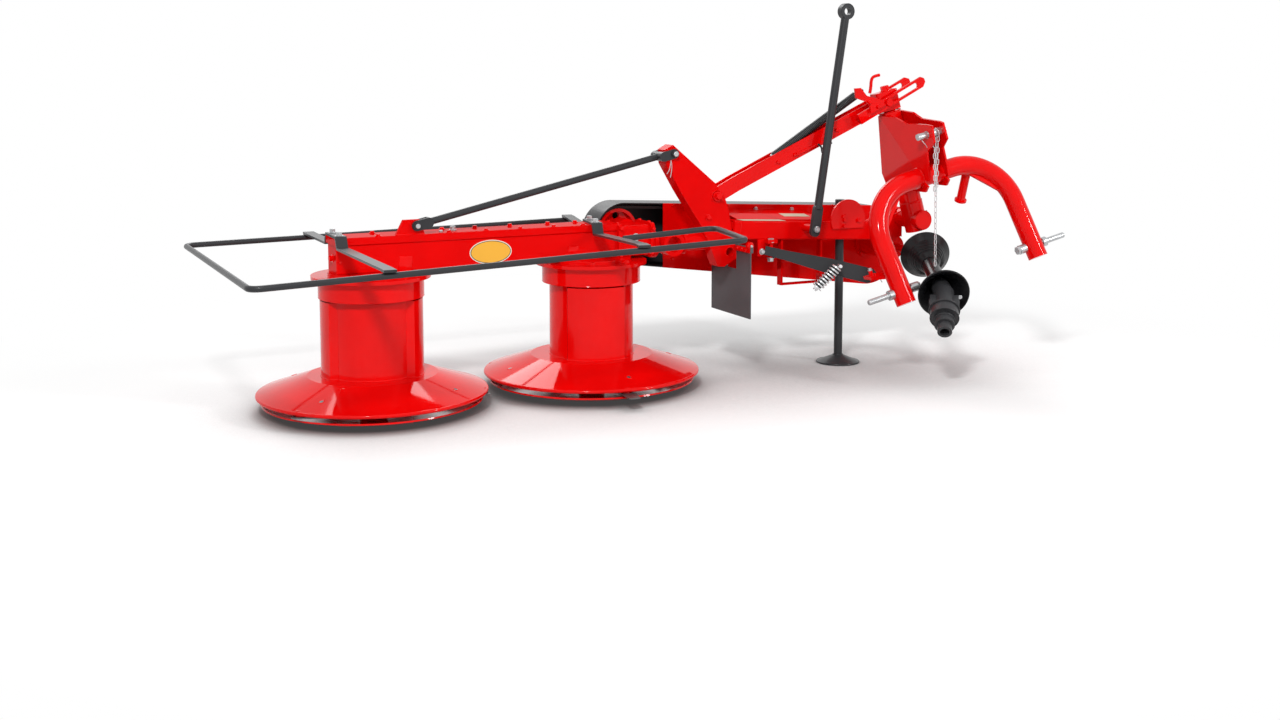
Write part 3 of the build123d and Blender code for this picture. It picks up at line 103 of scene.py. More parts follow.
tree.links.new(lit.outputs[0], seen_floor.inputs[1])
tree.links.new(white.outputs[0], seen_floor.inputs[2])
path = tree.nodes.new("ShaderNodeLightPath")
seen = tree.nodes.new("ShaderNodeMath")
seen.operation = "MAXIMUM"
tree.links.new(path.outputs["Is Camera Ray"], seen.inputs[0])
tree.links.new(path.outputs["Is Glossy Ray"], seen.inputs[1])
either = tree.nodes.new("ShaderNodeMixShader")
tree.links.new(seen.outputs[0], either.inputs[0])
tree.links.new(diffuse.outputs[0], either.inputs[1])
tree.links.new(seen_floor.outputs[0], either.inputs[2])
surface = tree.nodes.new("ShaderNodeOutputMaterial")
tree.links.new(either.outputs[0], surface.inputs[0])
floor_mesh.materials.append(floor_paint)

world = bpy.data.worlds.new("studio")
scene.world = world
world.use_nodes = True
tree = world.node_tree
tree.nodes.clear()
ambient = tree.nodes.new("ShaderNodeBackground")
ambient.inputs["Color"].default_value = (1, 1, 1, 1)
ambient.inputs["Strength"].default_value = 0.5
backdrop = tree.nodes.new("ShaderNodeBackground")
backdrop.inputs["Color"].default_value = (1, 1, 1, 1)
backdrop.inputs["Strength"].default_value = 1.0
path = tree.nodes.new("ShaderNodeLightPath")
seen = tree.nodes.new("ShaderNodeMath")
seen.operation = "MAXIMUM"
tree.links.new(path.outputs["Is Camera Ray"], seen.inputs[0])
tree.links.new(path.outputs["Is Glossy Ray"], seen.inputs[1])
either = tree.nodes.new("ShaderNodeMixShader")
tree.links.new(seen.outputs[0], either.inputs[0])
tree.links.new(ambient.outputs[0], either.inputs[1])
tree.links.new(backdrop.outputs[0], either.inputs[2])
surface = tree.nodes.new("ShaderNodeOutputWorld")
tree.links.new(either.outputs[0], surface.inputs[0])

lamp_target = Vector((0, 0, 0.5))
for name, place, size, power in (
    ("key", (-3.2, -4.6, 4.6), 0.8, 270),
    ("fill", (4.2, -5.0, 3.2), 0.9, 130),
    ("back", (0.5, 5.0, 4.5), 3.0, 130),
):
    lamp_data = bpy.data.lights.new(name, "AREA")
    lamp_data.size = size
    lamp_data.energy = power
    lamp = bpy.data.objects.new(name, lamp_data)
    lamp.location = place
    lamp.rotation_euler = (lamp_target - Vector(place)).to_track_quat("-Z", "Y").to_euler()
    scene.collection.objects.link(lamp)


# Skid dishes: shallow pans pressed from steel sheet, which turn freely under the cutting discs and
# carry the machine on the grass. They are sprayed red like the rest of the sheet metal.
def dress(material, *names):
    """The CAD nodes of these names take this finish."""
    for name in names:
        nodes[name].data.materials.clear()
        nodes[name].data.materials.append(material)


def finish(name, colour, roughness, low=0.9, waves=9):
    """A surface with a faint drift of tone over it and a fine grain under the light."""
    material = bpy.data.materials.new(name)
    material.use_nodes = True
    tree = material.node_tree
    shader = tree.nodes["Principled BSDF"]
    shader.inputs["Roughness"].default_value = roughness
    where = tree.nodes.new("ShaderNodeTexCoord")
    drift = tree.nodes.new("ShaderNodeTexNoise")
    drift.inputs["Scale"].default_value = waves
    drift.inputs["Detail"].default_value = 4
    tree.links.new(where.outputs["Object"], drift.inputs["Vector"])
    tone = tree.nodes.new("ShaderNodeValToRGB")
    tone.color_ramp.elements[0].position = 0.3
    tone.color_ramp.elements[0].color = (*[c * low for c in colour], 1)
    tone.color_ramp.elements[1].position = 0.7
    tone.color_ramp.elements[1].color = (*colour, 1)
    tree.links.new(drift.outputs["Fac"], tone.inputs["Fac"])
    tree.links.new(tone.outputs["Color"], shader.inputs["Base Color"])
    peel = tree.nodes.new("ShaderNodeTexNoise")
    peel.inputs["Scale"].default_value = 240
    tree.links.new(where.outputs["Object"], peel.inputs["Vector"])
    bump = tree.nodes.new("ShaderNodeBump")
    bump.inputs["Strength"].default_value = 0.12
    bump.inputs["Distance"].default_value = 0.0003
    tree.links.new(peel.outputs["Fac"], bump.inputs["Height"])
    tree.links.new(bump.outputs["Normal"], shader.inputs["Normal"])
    return material


def glossed(material, specular, coat, ior=1.3):
    """Sprayed enamel: little shine of its own, and a thin clear gloss that lights up at a grazing view."""
    shader = material.node_tree.nodes["Principled BSDF"]
    shader.inputs["Specular IOR Level"].default_value = specular
    shader.inputs["Coat Weight"].default_value = coat
    shader.inputs["Coat IOR"].default_value = ior
    shader.inputs["Coat Roughness"].default_value = 0.07
    return material


red_enamel = glossed(finish("red_enamel", (0.80, 0.0015, 0.0015), 0.35), 0.0, 0.9, 1.27)
dress(red_enamel, "outer_skid_dish", "inner_skid_dish")


# Knives: short flat blades of hardened steel, which swing on the pins under the disc's rim. They
# are as rolled, dark with a dull shine.
def metalled(material, share):
    """Bare or plated metal, which mirrors this share of the light in its own colour."""
    material.node_tree.nodes["Principled BSDF"].inputs["Metallic"].default_value = share
    return material


blade_steel = metalled(finish("blade_steel", (0.16, 0.16, 0.165), 0.38, low=0.7, waves=40), 0.8)
dress(blade_steel, "outer_knives", "inner_knives")

# Cutting discs: each is one cone pressed from thick sheet with a rolled rim, welded to the drum's
# foot. Four small holes with a pressed rim sit on the cone; in each a thin dark steel disc is painted shade
# for the open hole.
outer_axis_x, outer_axis_y = -1038.8, 146
drum_pitch = 844
to_top = Vector((0, 0, 1))


def spot(x, y, z):
    """A place in millimetres from the outer drum's axis at the floor, as the frame's metres."""
    return Vector(((x + outer_axis_x) / 1000, (y + outer_axis_y) / 1000, z / 1000))


def aim(place, along, roll=0):
    """A matrix at place whose Z points along."""
    turn = Vector(along).to_track_quat("Z", "Y").to_matrix().to_4x4()
    return Matrix.Translation(place) @ turn @ Matrix.Rotation(roll, 4, "Z")


def piece(name, bm, material, body, sharp=32):
    """The mesh becomes a piece of the scene that rides on a body."""
    bmesh.ops.recalc_face_normals(bm, faces=bm.faces)
    for face in bm.faces:
        face.smooth = True
    for edge in bm.edges:
        edge.smooth = len(edge.link_faces) == 2 and edge.calc_face_angle(pi) < radians(sharp)
    mesh = bpy.data.meshes.new(name)
    bm.to_mesh(mesh)
    bm.free()
    mesh.materials.append(material)
    thing = bpy.data.objects.new(name, mesh)
    scene.collection.objects.link(thing)
    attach(thing, body)
    return thing


def lathe(bm, profile, matrix, steps=32):
    """A profile of radius and height in metres, turned about the matrix's Z."""
    dots = [bm.verts.new((radius, 0, height)) for radius, height in profile]
    lines = [bm.edges.new(pair) for pair in zip(dots, dots[1:])]
    bmesh.ops.spin(
        bm, geom=dots + lines, cent=(0, 0, 0), axis=(0, 0, 1), angle=2 * pi, steps=steps, use_merge=True,
    )
    found = set(dots)
    unread = list(dots)
    while unread:
        for edge in unread.pop().link_edges:
            for vert in edge.verts:
                if vert not in found:
                    found.add(vert)
                    unread.append(vert)
    bmesh.ops.transform(bm, matrix=matrix, verts=list(found))
    bmesh.ops.remove_doubles(bm, verts=list(found), dist=0.00001)


def drum(bm, place, along, radius, height, steps=24, edge=0.0008, base=0.0):
    """A short round bar whose outer edge is eased; base is how far it starts below the place."""
    outline = [(0, -base), (radius, -base), (radius, height - edge), (radius - edge, height), (0, height)]
    lathe(bm, outline, aim(place, along), steps)


def bolt(bm, place, along, across=0.017, washer=True, roll=0.2, height=None):
    """A hexagon head on its washer, seated at place and facing along."""
    seat = aim(place, along, roll)
    sunk = 0.0002
    washer_top = 0.0018 if washer else 0.0
    washer_r = across * 0.78
    if washer:
        lathe(bm, [(0, -sunk), (washer_r, -sunk), (washer_r, washer_top), (0, washer_top)], seat, 20)
    corner_r = across / 2 / cos(pi / 6)
    top_r = across / 2 * 0.96
    head_tall = height or across * 0.62
    head_top = washer_top + head_tall
    head_outline = [
        (0, washer_top - sunk), (corner_r, washer_top - sunk), (corner_r, washer_top + head_tall * 0.86),
        (top_r, head_top), (0, head_top),
    ]
    lathe(bm, head_outline, seat, 6)


def ring(bm, place, along, radius, wire, steps=28, sides=8, squash=1.0):
    """A torus round the place, its section flattened by squash."""
    turns = [2 * pi * n / sides for n in range(sides)]
    profile = [(radius + wire * cos(turn), wire * squash * sin(turn)) for turn in turns]
    lathe(bm, profile + [profile[0]], aim(place, along), steps)


disc_slope = 57.5 / 170.5
disc_foot_r, disc_foot_z = 0.228, 0.126
hole_pitch_r, hole_r = 0.327, 0.009
for body, node, axis_x, hole_turn in (
    ("outer_drum", "outer_cutting_disc", 0, -137.2),
    ("inner_drum", "inner_cutting_disc", drum_pitch, 179.8),
):
    dress(red_enamel, node)
    rims = bmesh.new()
    hole_shade_discs = bmesh.new()
    for number in range(4):
        turn = radians(hole_turn + 90 * number)
        out = Vector((cos(turn), sin(turn), 0))
        hole_z = disc_foot_z - (hole_pitch_r - disc_foot_r) * disc_slope
        place = spot(axis_x, 0, 0) + out * hole_pitch_r + to_top * hole_z
        cone_normal = (out * disc_slope + to_top).normalized()
        ring(rims, place, cone_normal, hole_r, 0.0022, squash=0.6)
        # Painted shade: a thin dark disc inside the rim stands in for the darkness of the open hole.
        drum(hole_shade_discs, place, cone_normal, hole_r - 0.0018, 0.0006, base=0.002)
    piece(body + "_pin_hole_rims", rims, red_enamel, body)
    piece(body + "_pin_hole_shade", hole_shade_discs, blade_steel, body)


# Drum shells: rolled sheet with two broad lobes that throw the grass inwards. A continuous weld
# joins the shell's foot to the disc, painted over with the rest.
def bead(bm, points, radius, closed=False, step=0.005, sides=6):
    """A weld bead: a low rippled cord along a run of points."""
    runs = list(zip(points, points[1:] + ([points[0]] if closed else [])))
    dots = []
    for start, end in runs:
        count = max(2, round((end - start).length / step))
        dots += [start.lerp(end, n / count) for n in range(count)]
    if not closed:
        dots.append(points[-1])
    rings = []
    for number, dot in enumerate(dots):
        ahead = dots[(number + 1) % len(dots)] if closed or number + 1 < len(dots) else dot
        behind = dots[number - 1] if closed or number else dot
        wide = radius * (1.0 if number % 2 else 0.82)
        base = aim(dot, ahead - behind)
        rings.append([
            bm.verts.new(base @ Vector((wide * cos(2 * pi * n / sides), wide * sin(2 * pi * n / sides), 0)))
            for n in range(sides)
        ])
    pairs = list(zip(rings, rings[1:] + (rings[:1] if closed else [])))
    for low, high in pairs:
        for n in range(sides):
            bm.faces.new((low[n], low[(n + 1) % sides], high[(n + 1) % sides], high[n]))
    if not closed:
        bm.faces.new(rings[0])
        bm.faces.new(rings[-1])


def around(centre, radius, along, count=48, start=0.0, sweep=2 * pi, closed=True):
    """Points on a circle or an arc about along."""
    base = aim(centre, along)
    last = count if closed else count - 1
    return [
        base @ Vector((radius * cos(start + sweep * n / last), radius * sin(start + sweep * n / last), 0))
        for n in range(count)
    ]


shell_r, lobe_out = 0.1575, 0.022
lobe_half, lobe_ease = 42, 6
weld_z = 127
for body, node, axis_x, shell_turn in (
    ("outer_drum", "outer_drum_shell", 0, 164), ("inner_drum", "inner_drum_shell", drum_pitch, 73),
):
    dress(red_enamel, node)
    foot = []
    for angle in range(0, 360, 3):
        off_lobe = abs((angle + 90) % 180 - 90)
        share = min(max((lobe_half - off_lobe) / lobe_ease, 0), 1)
        radius = shell_r + lobe_out * share
        turn = radians(angle + shell_turn)
        foot.append(spot(axis_x, 0, weld_z) + Vector((radius * cos(turn), radius * sin(turn), 0)))
    weld = bmesh.new()
    bead(weld, foot, 0.0035, closed=True, step=0.006)
    piece(body + "_foot_weld", weld, red_enamel, body)

# Bearing housings: castings that close the drums' tops and hang them under the beam. A bolted
# flange carries each one, with a low bead where the sheet collar is turned over.
flange_pitch_r, flange_z = 179, 478
for node, axis_x in (("outer_bearing_housing", 0), ("inner_bearing_housing", drum_pitch)):
    dress(red_enamel, node)
    heads = bmesh.new()
    for number in range(8):
        turn = radians(22.5 + 45 * number)
        under_beam = abs(sin(turn)) < 0.5
        if not under_beam:
            place = spot(axis_x + flange_pitch_r * cos(turn), flange_pitch_r * sin(turn), flange_z)
            bolt(heads, place, to_top)
    piece(node + "_bolts", heads, red_enamel, "frame")
    seam = bmesh.new()
    for seam_z, seam_r, gauge in ((466, 0.1845, 0.003), (401, 0.1825, 0.0022)):
        ring(seam, spot(axis_x, 0, seam_z), to_top, seam_r, gauge, steps=64)
    piece(node + "_collar_beads", seam, red_enamel, "frame")

# Gear beam: a long closed gear case of welded plate under a thick bolted cover, which carries the
# lug of the tie rod. A blank oval plate with a thin dark line is fixed to the middle of its front.
red_satin = glossed(finish("red_satin", (0.76, 0.0015, 0.0015), 0.4), 0.0, 0.3, 1.22)
dress(red_satin, "gear_beam", "beam_cover")
to_front = -Vector((0, 1, 0))
cover_z = 615
beam_front_y = -57
cover_bolts = bmesh.new()
for bolt_y, row in ((-50, (13, 270, 410, 541, 672, 790)), (50, (21, 278, 403, 539, 689, 800))):
    for bolt_x in row:
        bolt(cover_bolts, spot(bolt_x, bolt_y, cover_z), to_top, 0.015, height=0.006)
piece("beam_cover_bolts", cover_bolts, red_enamel, "frame")

zinc_plate = metalled(finish("zinc_plate", (0.52, 0.53, 0.54), 0.34, low=0.82, waves=60), 0.85)
breather = bmesh.new()
breather_outline = [
    (0, 0), (0.013, 0), (0.013, 0.005), (0.010, 0.006), (0.010, 0.014), (0.008, 0.017), (0, 0.0175),
]
lathe(breather, breather_outline, aim(spot(300, -6, cover_z), to_top))
drum(breather, spot(246, -34, cover_z), to_top, 0.0075, 0.007)
piece("beam_breather", breather, zinc_plate, "frame")

pads = bmesh.new()
pad_lean = Matrix.Rotation(radians(6), 4, "Y")
for low, high in (((84, -59.2, 487), (131, -56.5, 540)), ((726, -58.6, 513), (766, -56.5, 540))):
    middle = (spot(*low) + spot(*high)) / 2
    pad_size = spot(*high) - spot(*low)
    shape = Matrix.Translation(middle) @ pad_lean @ Matrix.Diagonal((*pad_size, 1))
    bmesh.ops.create_cube(pads, size=1, matrix=shape)
bmesh.ops.bevel(
    pads, geom=pads.edges[:], offset=0.0008, affect="EDGES", segments=2, profile=0.5, material=-1,
)
piece("beam_front_pads", pads, red_enamel, "frame")

cover_seam = bmesh.new()
cover_foot_z = 589
bead(cover_seam, [spot(-120, -58, cover_foot_z), spot(920, -58, cover_foot_z)], 0.0016, step=0.02)
bead(cover_seam, [spot(-135.6, -56, 492), spot(-135.6, -56, 588)], 0.0022, step=0.006)
for lug_face_y in (-57.6, -42.4):
    bead(cover_seam, [spot(76, lug_face_y, cover_z + 0.5), spot(178, lug_face_y, cover_z + 0.5)], 0.003)
piece("beam_welds", cover_seam, red_enamel, "frame")

end_screw = bmesh.new()
bolt(end_screw, spot(-124, beam_front_y, 532), to_front, 0.010, washer=False)
bolt(end_screw, spot(-135.5, 0, 540), (-1, 0, 0), 0.019)
piece("beam_end_screws", end_screw, red_enamel, "frame")

amber = finish("amber_plate", (0.82, 0.42, 0.03), 0.4, low=0.96)
pale = finish("pale_edge", (0.78, 0.74, 0.62), 0.4, low=0.96)
ink = finish("dark_line", (0.02, 0.018, 0.016), 0.4, low=0.9)
plate_middle = spot(424, beam_front_y, 537)
for name, half_x, half_z, thick, material in (
    ("oval_plate_edge", 0.080, 0.0435, 0.0008, pale), ("oval_plate_line", 0.0765, 0.0405, 0.0011, ink),
    ("oval_plate_face", 0.074, 0.0382, 0.0014, amber),
):
    oval = bmesh.new()
    lathe(oval, [(0, 0), (1, 0), (1, thick), (0, thick)], aim(plate_middle, to_front), 72)
    to_plate = Matrix.Translation(-plate_middle)
    bmesh.ops.scale(oval, vec=(half_x, 1, half_z), space=to_plate, verts=oval.verts)
    piece(name, oval, material, "frame")

# Gear case: the casting at the beam's inner end, between two bolted flanges, with an oil plug. Its
# shaft comes out behind to the driven pulley.
dress(red_satin, "gear_case")
case_front_y, case_top_z = -73.2, 612
case_bolts = bmesh.new()
for bolt_x, bolt_z in ((1068, 590), (1062, 500), (933, 597), (933, 496)):
    bolt(case_bolts, spot(bolt_x, case_front_y, bolt_z), to_front, 0.013, washer=False)
for bolt_x in (934, 1066):
    for bolt_y in (-40, 40):
        bolt(case_bolts, spot(bolt_x, bolt_y, case_top_z), to_top, 0.012, washer=False, height=0.006)
piece("gear_case_bolts", case_bolts, red_enamel, "frame")
plug = bmesh.new()
bolt(plug, spot(1000, -62, 560), to_front, 0.019)
piece("gear_case_plugs", plug, zinc_plate, "frame")

# Link housing: a welded tube with two turned rings that joins the gear case to the upright. The
# boss on its front is bored for a pin.
dress(red_satin, "link_housing")
housing_y, housing_z = -34, 528
to_hitch = Vector((1, 0, 0))
link_bits = bmesh.new()
for number in range(6):
    turn = radians(60 * number + 15)
    for ring_x, pitch_r in ((1089, 42), (1215, 38)):
        place = spot(ring_x, housing_y + pitch_r * cos(turn), housing_z + pitch_r * sin(turn))
        bolt(link_bits, place, to_hitch, 0.010, washer=False)
bead(link_bits, around(spot(1138, -59.5, 530), 0.0455, to_front, 30), 0.0026, closed=True)
piece("link_housing_fittings", link_bits, red_enamel, "frame")

# Upright: a channel folded from plate with the tie rod pinned at its top, the lift arm's bolt
# through its middle and a bored knuckle at its foot. Its seams are welded.
dress(red_satin, "upright")
upright_front_y = -81
arm_bolt_x, arm_bolt_z = 1336, 702
upright_bits = bmesh.new()
bolt(upright_bits, spot(1299, upright_front_y, 622), to_front)
bolt(upright_bits, spot(arm_bolt_x, -91.5, arm_bolt_z), to_front, 0.022, washer=False)
ring(upright_bits, spot(arm_bolt_x, upright_front_y - 0.5, arm_bolt_z), to_front, 0.023, 0.003)
nipple_way = (0.6, -0.6, -0.4)
drum(upright_bits, spot(1346, -89, 694), nipple_way, 0.0035, 0.014, base=0.002)
bead(upright_bits, [spot(1405, upright_front_y, 560), spot(1405, upright_front_y, 605)], 0.0026)
fold = [spot(x, upright_front_y, z) for x, z in ((1312, 500), (1275, 585), (1235, 642), (1176, 732))]
bead(upright_bits, fold, 0.0018)
ring(upright_bits, spot(1395, upright_front_y, 484), to_front, 0.0185, 0.0018)
piece("upright_fittings", upright_bits, red_enamel, "frame")

# Main frame: a box beam that slopes down to the hitch end, where a gusset holds the pivot pin and
# the input housing. Welds run round each joint. Two blank beige plates lie on it and on the shield.
dress(red_satin, "frame_beam", "frame_end", "input_housing", "guard_brackets", "strap_loop", "bar_bracket")
frame_start_x, frame_end_x = 1407, 2075
frame_start_z, frame_end_z = 568.6, 532.5
frame_half_tall = 36.05
pivot_x, pivot_z = 2191, 584
beam_slope = (frame_end_z - frame_start_z) / (frame_end_x - frame_start_x)


def beam_top(x, y=-50):
    """A place on the frame beam's top face."""
    return spot(x, y, frame_start_z + (x - frame_start_x) * beam_slope + frame_half_tall)


frame_welds = bmesh.new()
bead(frame_welds, [beam_top(2052, -92), beam_top(2052, -8)], 0.0035)
bead(frame_welds, [spot(2120, -131, 598), spot(2190, -131, 622)], 0.003)
bead(frame_welds, around(spot(pivot_x, -91, pivot_z), 0.0215, to_front, 20), 0.003, closed=True)
bead(frame_welds, [spot(1432, -95.4, 532), spot(1436, -95.4, 602)], 0.003)
piece("frame_welds", frame_welds, red_enamel, "frame")

bracket_front_y = -103
input_x, input_z, input_pitch_r = 2172, 457, 58
frame_bolts = bmesh.new()
for bolt_x, bolt_z in ((1905, 585), (1905, 560), (1972, 580)):
    bolt(frame_bolts, spot(bolt_x, bracket_front_y, bolt_z), to_front, 0.014)
for number in range(4):
    turn = radians(45 + 90 * number)
    place = spot(input_x + input_pitch_r * cos(turn), 106, input_z + input_pitch_r * sin(turn))
    bolt(frame_bolts, place, to_front, 0.012, washer=False)
piece("frame_bolts", frame_bolts, red_enamel, "frame")

beige = finish("beige_plate", (0.55, 0.47, 0.33), 0.5, low=0.94)
plate_thick = 0.0008
for name, start_x, end_x, near_y, far_y, near_lift, far_lift in (
    ("beige_plate_long", 1446, 1640, -91, -42, 1.2, 1.2),
    ("beige_plate_short", 1690, 1810, 2, 46, 10.4, 17.7),
):
    near_rise, far_rise = to_top * near_lift / 1000, to_top * far_lift / 1000
    corners = (
        beam_top(start_x, near_y) + near_rise, beam_top(end_x, near_y) + near_rise,
        beam_top(end_x, far_y) + far_rise, beam_top(start_x, far_y) + far_rise,
    )
    plate = bmesh.new()
    face = plate.faces.new([plate.verts.new(corner) for corner in corners])
    grown = bmesh.ops.extrude_face_region(plate, geom=[face])["geom"]
    upper = [item for item in grown if isinstance(item, bmesh.types.BMVert)]
    bmesh.ops.translate(plate, vec=to_top * plate_thick, verts=upper)
    piece(name, plate, beige, "frame")

# Top shield: a sloping sheet of steel between the beam and the belt guard, which keeps cut grass
# off the belts. Bright screws hold it along its rear edge.
dress(red_satin, "top_shield")
shield_normal = (0.05, -0.16, 1)
shield_rise = 0.0287
shield_screws = bmesh.new()
for screw_x in (1470, 1620, 1790):
    bolt(shield_screws, beam_top(screw_x, 108) + to_top * shield_rise, shield_normal, 0.012)
piece("shield_screws", shield_screws, zinc_plate, "frame")

# Belt drive: rubber belts on two spoked cast pulleys, the driven one red and the driving one dark,
# each held on its shaft by a nut and a washer.
belt_rubber = finish("belt_rubber", (0.025, 0.025, 0.026), 0.7, low=0.8, waves=30)
cast_iron = glossed(finish("cast_iron", (0.035, 0.035, 0.038), 0.42, low=0.8, waves=30), 0.3, 0.1)
dress(belt_rubber, "drive_belts")
dress(red_enamel, "driven_pulley")
dress(cast_iron, "drive_pulley")
shaft_end_y = 196
for body, centre_x, centre_z in (("driven_wheel", 1022, 569), ("drive_wheel", input_x, input_z)):
    nut = bmesh.new()
    bolt(nut, spot(centre_x, shaft_end_y, centre_z), -to_front, 0.036, height=0.012)
    piece(body + "_shaft_nut", nut, zinc_plate, body)

# Belt guard: a tray rolled from black sheet, open over the driven pulley, behind a red sheet panel
# that is screwed to its edge.
black_enamel = glossed(finish("black_enamel", (0.030, 0.031, 0.034), 0.42, low=0.85), 0.2, 0.2, 1.3)
dress(black_enamel, "belt_guard_tray")
dress(red_satin, "belt_guard_panel")
panel_front_y = 116
panel_screws = bmesh.new()
for screw_x, top_z, foot_z in ((1245, 655, 442), (1500, 643, 405), (1750, 631, 369), (1990, 620, 334)):
    for screw_z in (top_z, foot_z):
        bolt(panel_screws, spot(screw_x, panel_front_y, screw_z), to_front, 0.010, washer=False)
piece("guard_panel_screws", panel_screws, red_enamel, "frame")
tray_lip = bmesh.new()
lip_round = around(spot(1036, 121, 553), 0.1172, to_front, 40, radians(85), radians(190), closed=False)
bead(tray_lip, lip_round, 0.0022, step=0.02)
piece("guard_tray_lip", tray_lip, black_enamel, "frame")

# Support leg: a round bar on a pressed foot, held in the collar of a round-topped bracket by a pin.
# A black cap closes its top.
dress(red_enamel, "leg_bracket")
dress(black_enamel, "support_leg")
leg_x, leg_y, leg_top_z = 1919, -50, 640
leg_top = bmesh.new()
drum(leg_top, spot(leg_x, leg_y, leg_top_z), to_top, 0.0195, 0.0225)
piece("leg_cap", leg_top, black_enamel, "leg")
leg_foot = bmesh.new()
ring(leg_foot, spot(leg_x, leg_y, 4), to_top, 0.084, 0.003, steps=48)
bead(leg_foot, around(spot(leg_x, leg_y, 31), 0.0195, to_top, 20), 0.003, closed=True)
piece("leg_foot_bead", leg_foot, black_enamel, "leg")
bracket_bits = bmesh.new()
bolt(bracket_bits, spot(1903, bracket_front_y, 598), to_front, washer=False)
bead(bracket_bits, [spot(1850, -97, 577), spot(1988, -97, 569)], 0.003)
piece("leg_bracket_fittings", bracket_bits, red_enamel, "frame")

# Flap: a sheet of grey rubber behind the knuckle, clamped under a bar by three bolts. A knob on its
# near edge has a screw through it.
flap_rubber = finish("flap_rubber", (0.075, 0.078, 0.084), 0.6, low=0.88, waves=14)
dress(flap_rubber, "flap")
clamp_y, clamp_z = -142, 500
clamp_size = (0.003, 0.100, 0.020)
clamp = bmesh.new()
clamp_place = Matrix.Translation(spot(1418.5, clamp_y, clamp_z))
bmesh.ops.create_cube(clamp, size=1, matrix=clamp_place @ Matrix.Diagonal((*clamp_size, 1)))
for bolt_y in (clamp_y + 32, clamp_y, clamp_y - 32):
    bolt(clamp, spot(1417, bolt_y, clamp_z), -to_hitch, 0.013)
piece("flap_clamp", clamp, red_enamel, "frame")
knob_x, knob_z = 1424, 517
knob_outline = [(0, 0), (0.012, 0), (0.015, 0.004), (0.015, 0.016), (0.011, 0.021), (0, 0.022)]
knob = bmesh.new()
lathe(knob, knob_outline, aim(spot(knob_x, -172, knob_z), to_front))
piece("flap_knob", knob, red_enamel, "frame")
knob_screw = bmesh.new()
drum(knob_screw, spot(knob_x, -193, knob_z), to_front, 0.005, 0.006)
piece("flap_knob_screw", knob_screw, zinc_plate, "frame")


# Tie rod: a black bar with a forged jaw pinned at each end. The pins have bright heads, and a bent
# cotter of thin wire keeps the upper one.
def wire(bm, points, radius, sides=8):
    """A round wire that follows the points, with rounded corners."""
    line = bpy.data.curves.new("route", "CURVE")
    line.dimensions = "3D"
    spline = line.splines.new("NURBS")
    spline.points.add(len(points) - 1)
    for dot, place in zip(spline.points, points):
        dot.co = (*place, 1)
    spline.order_u = 3
    spline.use_endpoint_u = True
    spline.resolution_u = 6
    line.bevel_depth = radius
    line.bevel_resolution = max(0, sides // 2 - 2)
    line.use_fill_caps = True
    holder = bpy.data.objects.new("route", line)
    made = bpy.data.meshes.new_from_object(holder)
    bm.from_mesh(made)
    bpy.data.objects.remove(holder)
    bpy.data.curves.remove(line)
    bpy.data.meshes.remove(made)


dress(black_enamel, "tie_rod")
upper_pin_y, lower_pin_front_y = -97.6, -73.6
tie_pins = bmesh.new()
bolt(tie_pins, spot(1149, upper_pin_y, 870), to_front, 0.019, washer=False, height=0.009)
drum(tie_pins, spot(150, lower_pin_front_y, 645), to_front, 0.0085, 0.004)
piece("tie_rod_pin_heads", tie_pins, zinc_plate, "frame")
cotter_gauge = 0.0014
cotter = bmesh.new()
for leg_route in (
    ((1131, -94, 846), (1129, -96, 832), (1122, -97, 806), (1112, -98, 796)),
    ((1131, -94, 846), (1135, -96, 830), (1132, -97, 800), (1127, -98, 782)),
):
    wire(cotter, [spot(*place) for place in leg_route], cotter_gauge)
piece("tie_rod_cotter", cotter, zinc_plate, "frame")

# Lift arm: a channel folded from plate that swings on the upright's bolt, cranked sideways to the
# headstock. Riveted spacers hold its sides apart, and slotted plates at its end pull the swivel.
dress(red_enamel, "lift_arm", "slot_plates")
arm_foot = spot(arm_bolt_x, -50, arm_bolt_z)
arm_rise, arm_turn = radians(26.286), radians(-7.663)
arm_long, arm_offset = 0.79357, 0.08524
crank_at = 0.098
arm_x = Vector((cos(arm_rise), 0, sin(arm_rise)))
arm_z = Vector((-sin(arm_rise), 0, cos(arm_rise)))
crank_x = Matrix.Rotation(arm_turn, 3, arm_z) @ arm_x
crank_y = arm_z.cross(crank_x)


def on_crank(x, y, z):
    """A place on the arm past its bend, in millimetres: x along it, y to its far side, z over it."""
    return arm_foot + arm_x * crank_at + (crank_x * x + crank_y * y + arm_z * z) / 1000


arm_side, spacer_z = 24, -4
arm_bits = bmesh.new()
for spacer_x in (196, 470):
    bolt(arm_bits, on_crank(spacer_x, -arm_side, spacer_z), -crank_y, 0.013, washer=False)
    drum(arm_bits, on_crank(spacer_x, arm_side, spacer_z), crank_y, 0.007, 0.004)
slot_end = arm_foot + arm_x * arm_long + to_front * arm_offset
slot_plate_face = to_front * 0.0685
for rivet_x, rivet_z in ((-0.092, 0.048), (-0.060, 0.012)):
    place = slot_end + arm_x * rivet_x + arm_z * rivet_z + slot_plate_face
    bolt(arm_bits, place, to_front, 0.013, washer=False)
piece("lift_arm_rivets", arm_bits, red_enamel, "arm")

# Relief spring: a close-wound coil of black wire that pulls between two hooks, lying in the arm's
# channel at its foot and rising out of it towards the headstock. A bent lever stands at its hook.
black_wire = glossed(finish("black_wire", (0.028, 0.03, 0.032), 0.35, low=0.8), 0.5, 0.2, 1.4)
crank_long = 0.6393
spring_start = on_crank(190, 0, 18)
spring_x = Matrix.Rotation(radians(-8), 3, crank_y) @ crank_x
spring_long = crank_long - 0.212


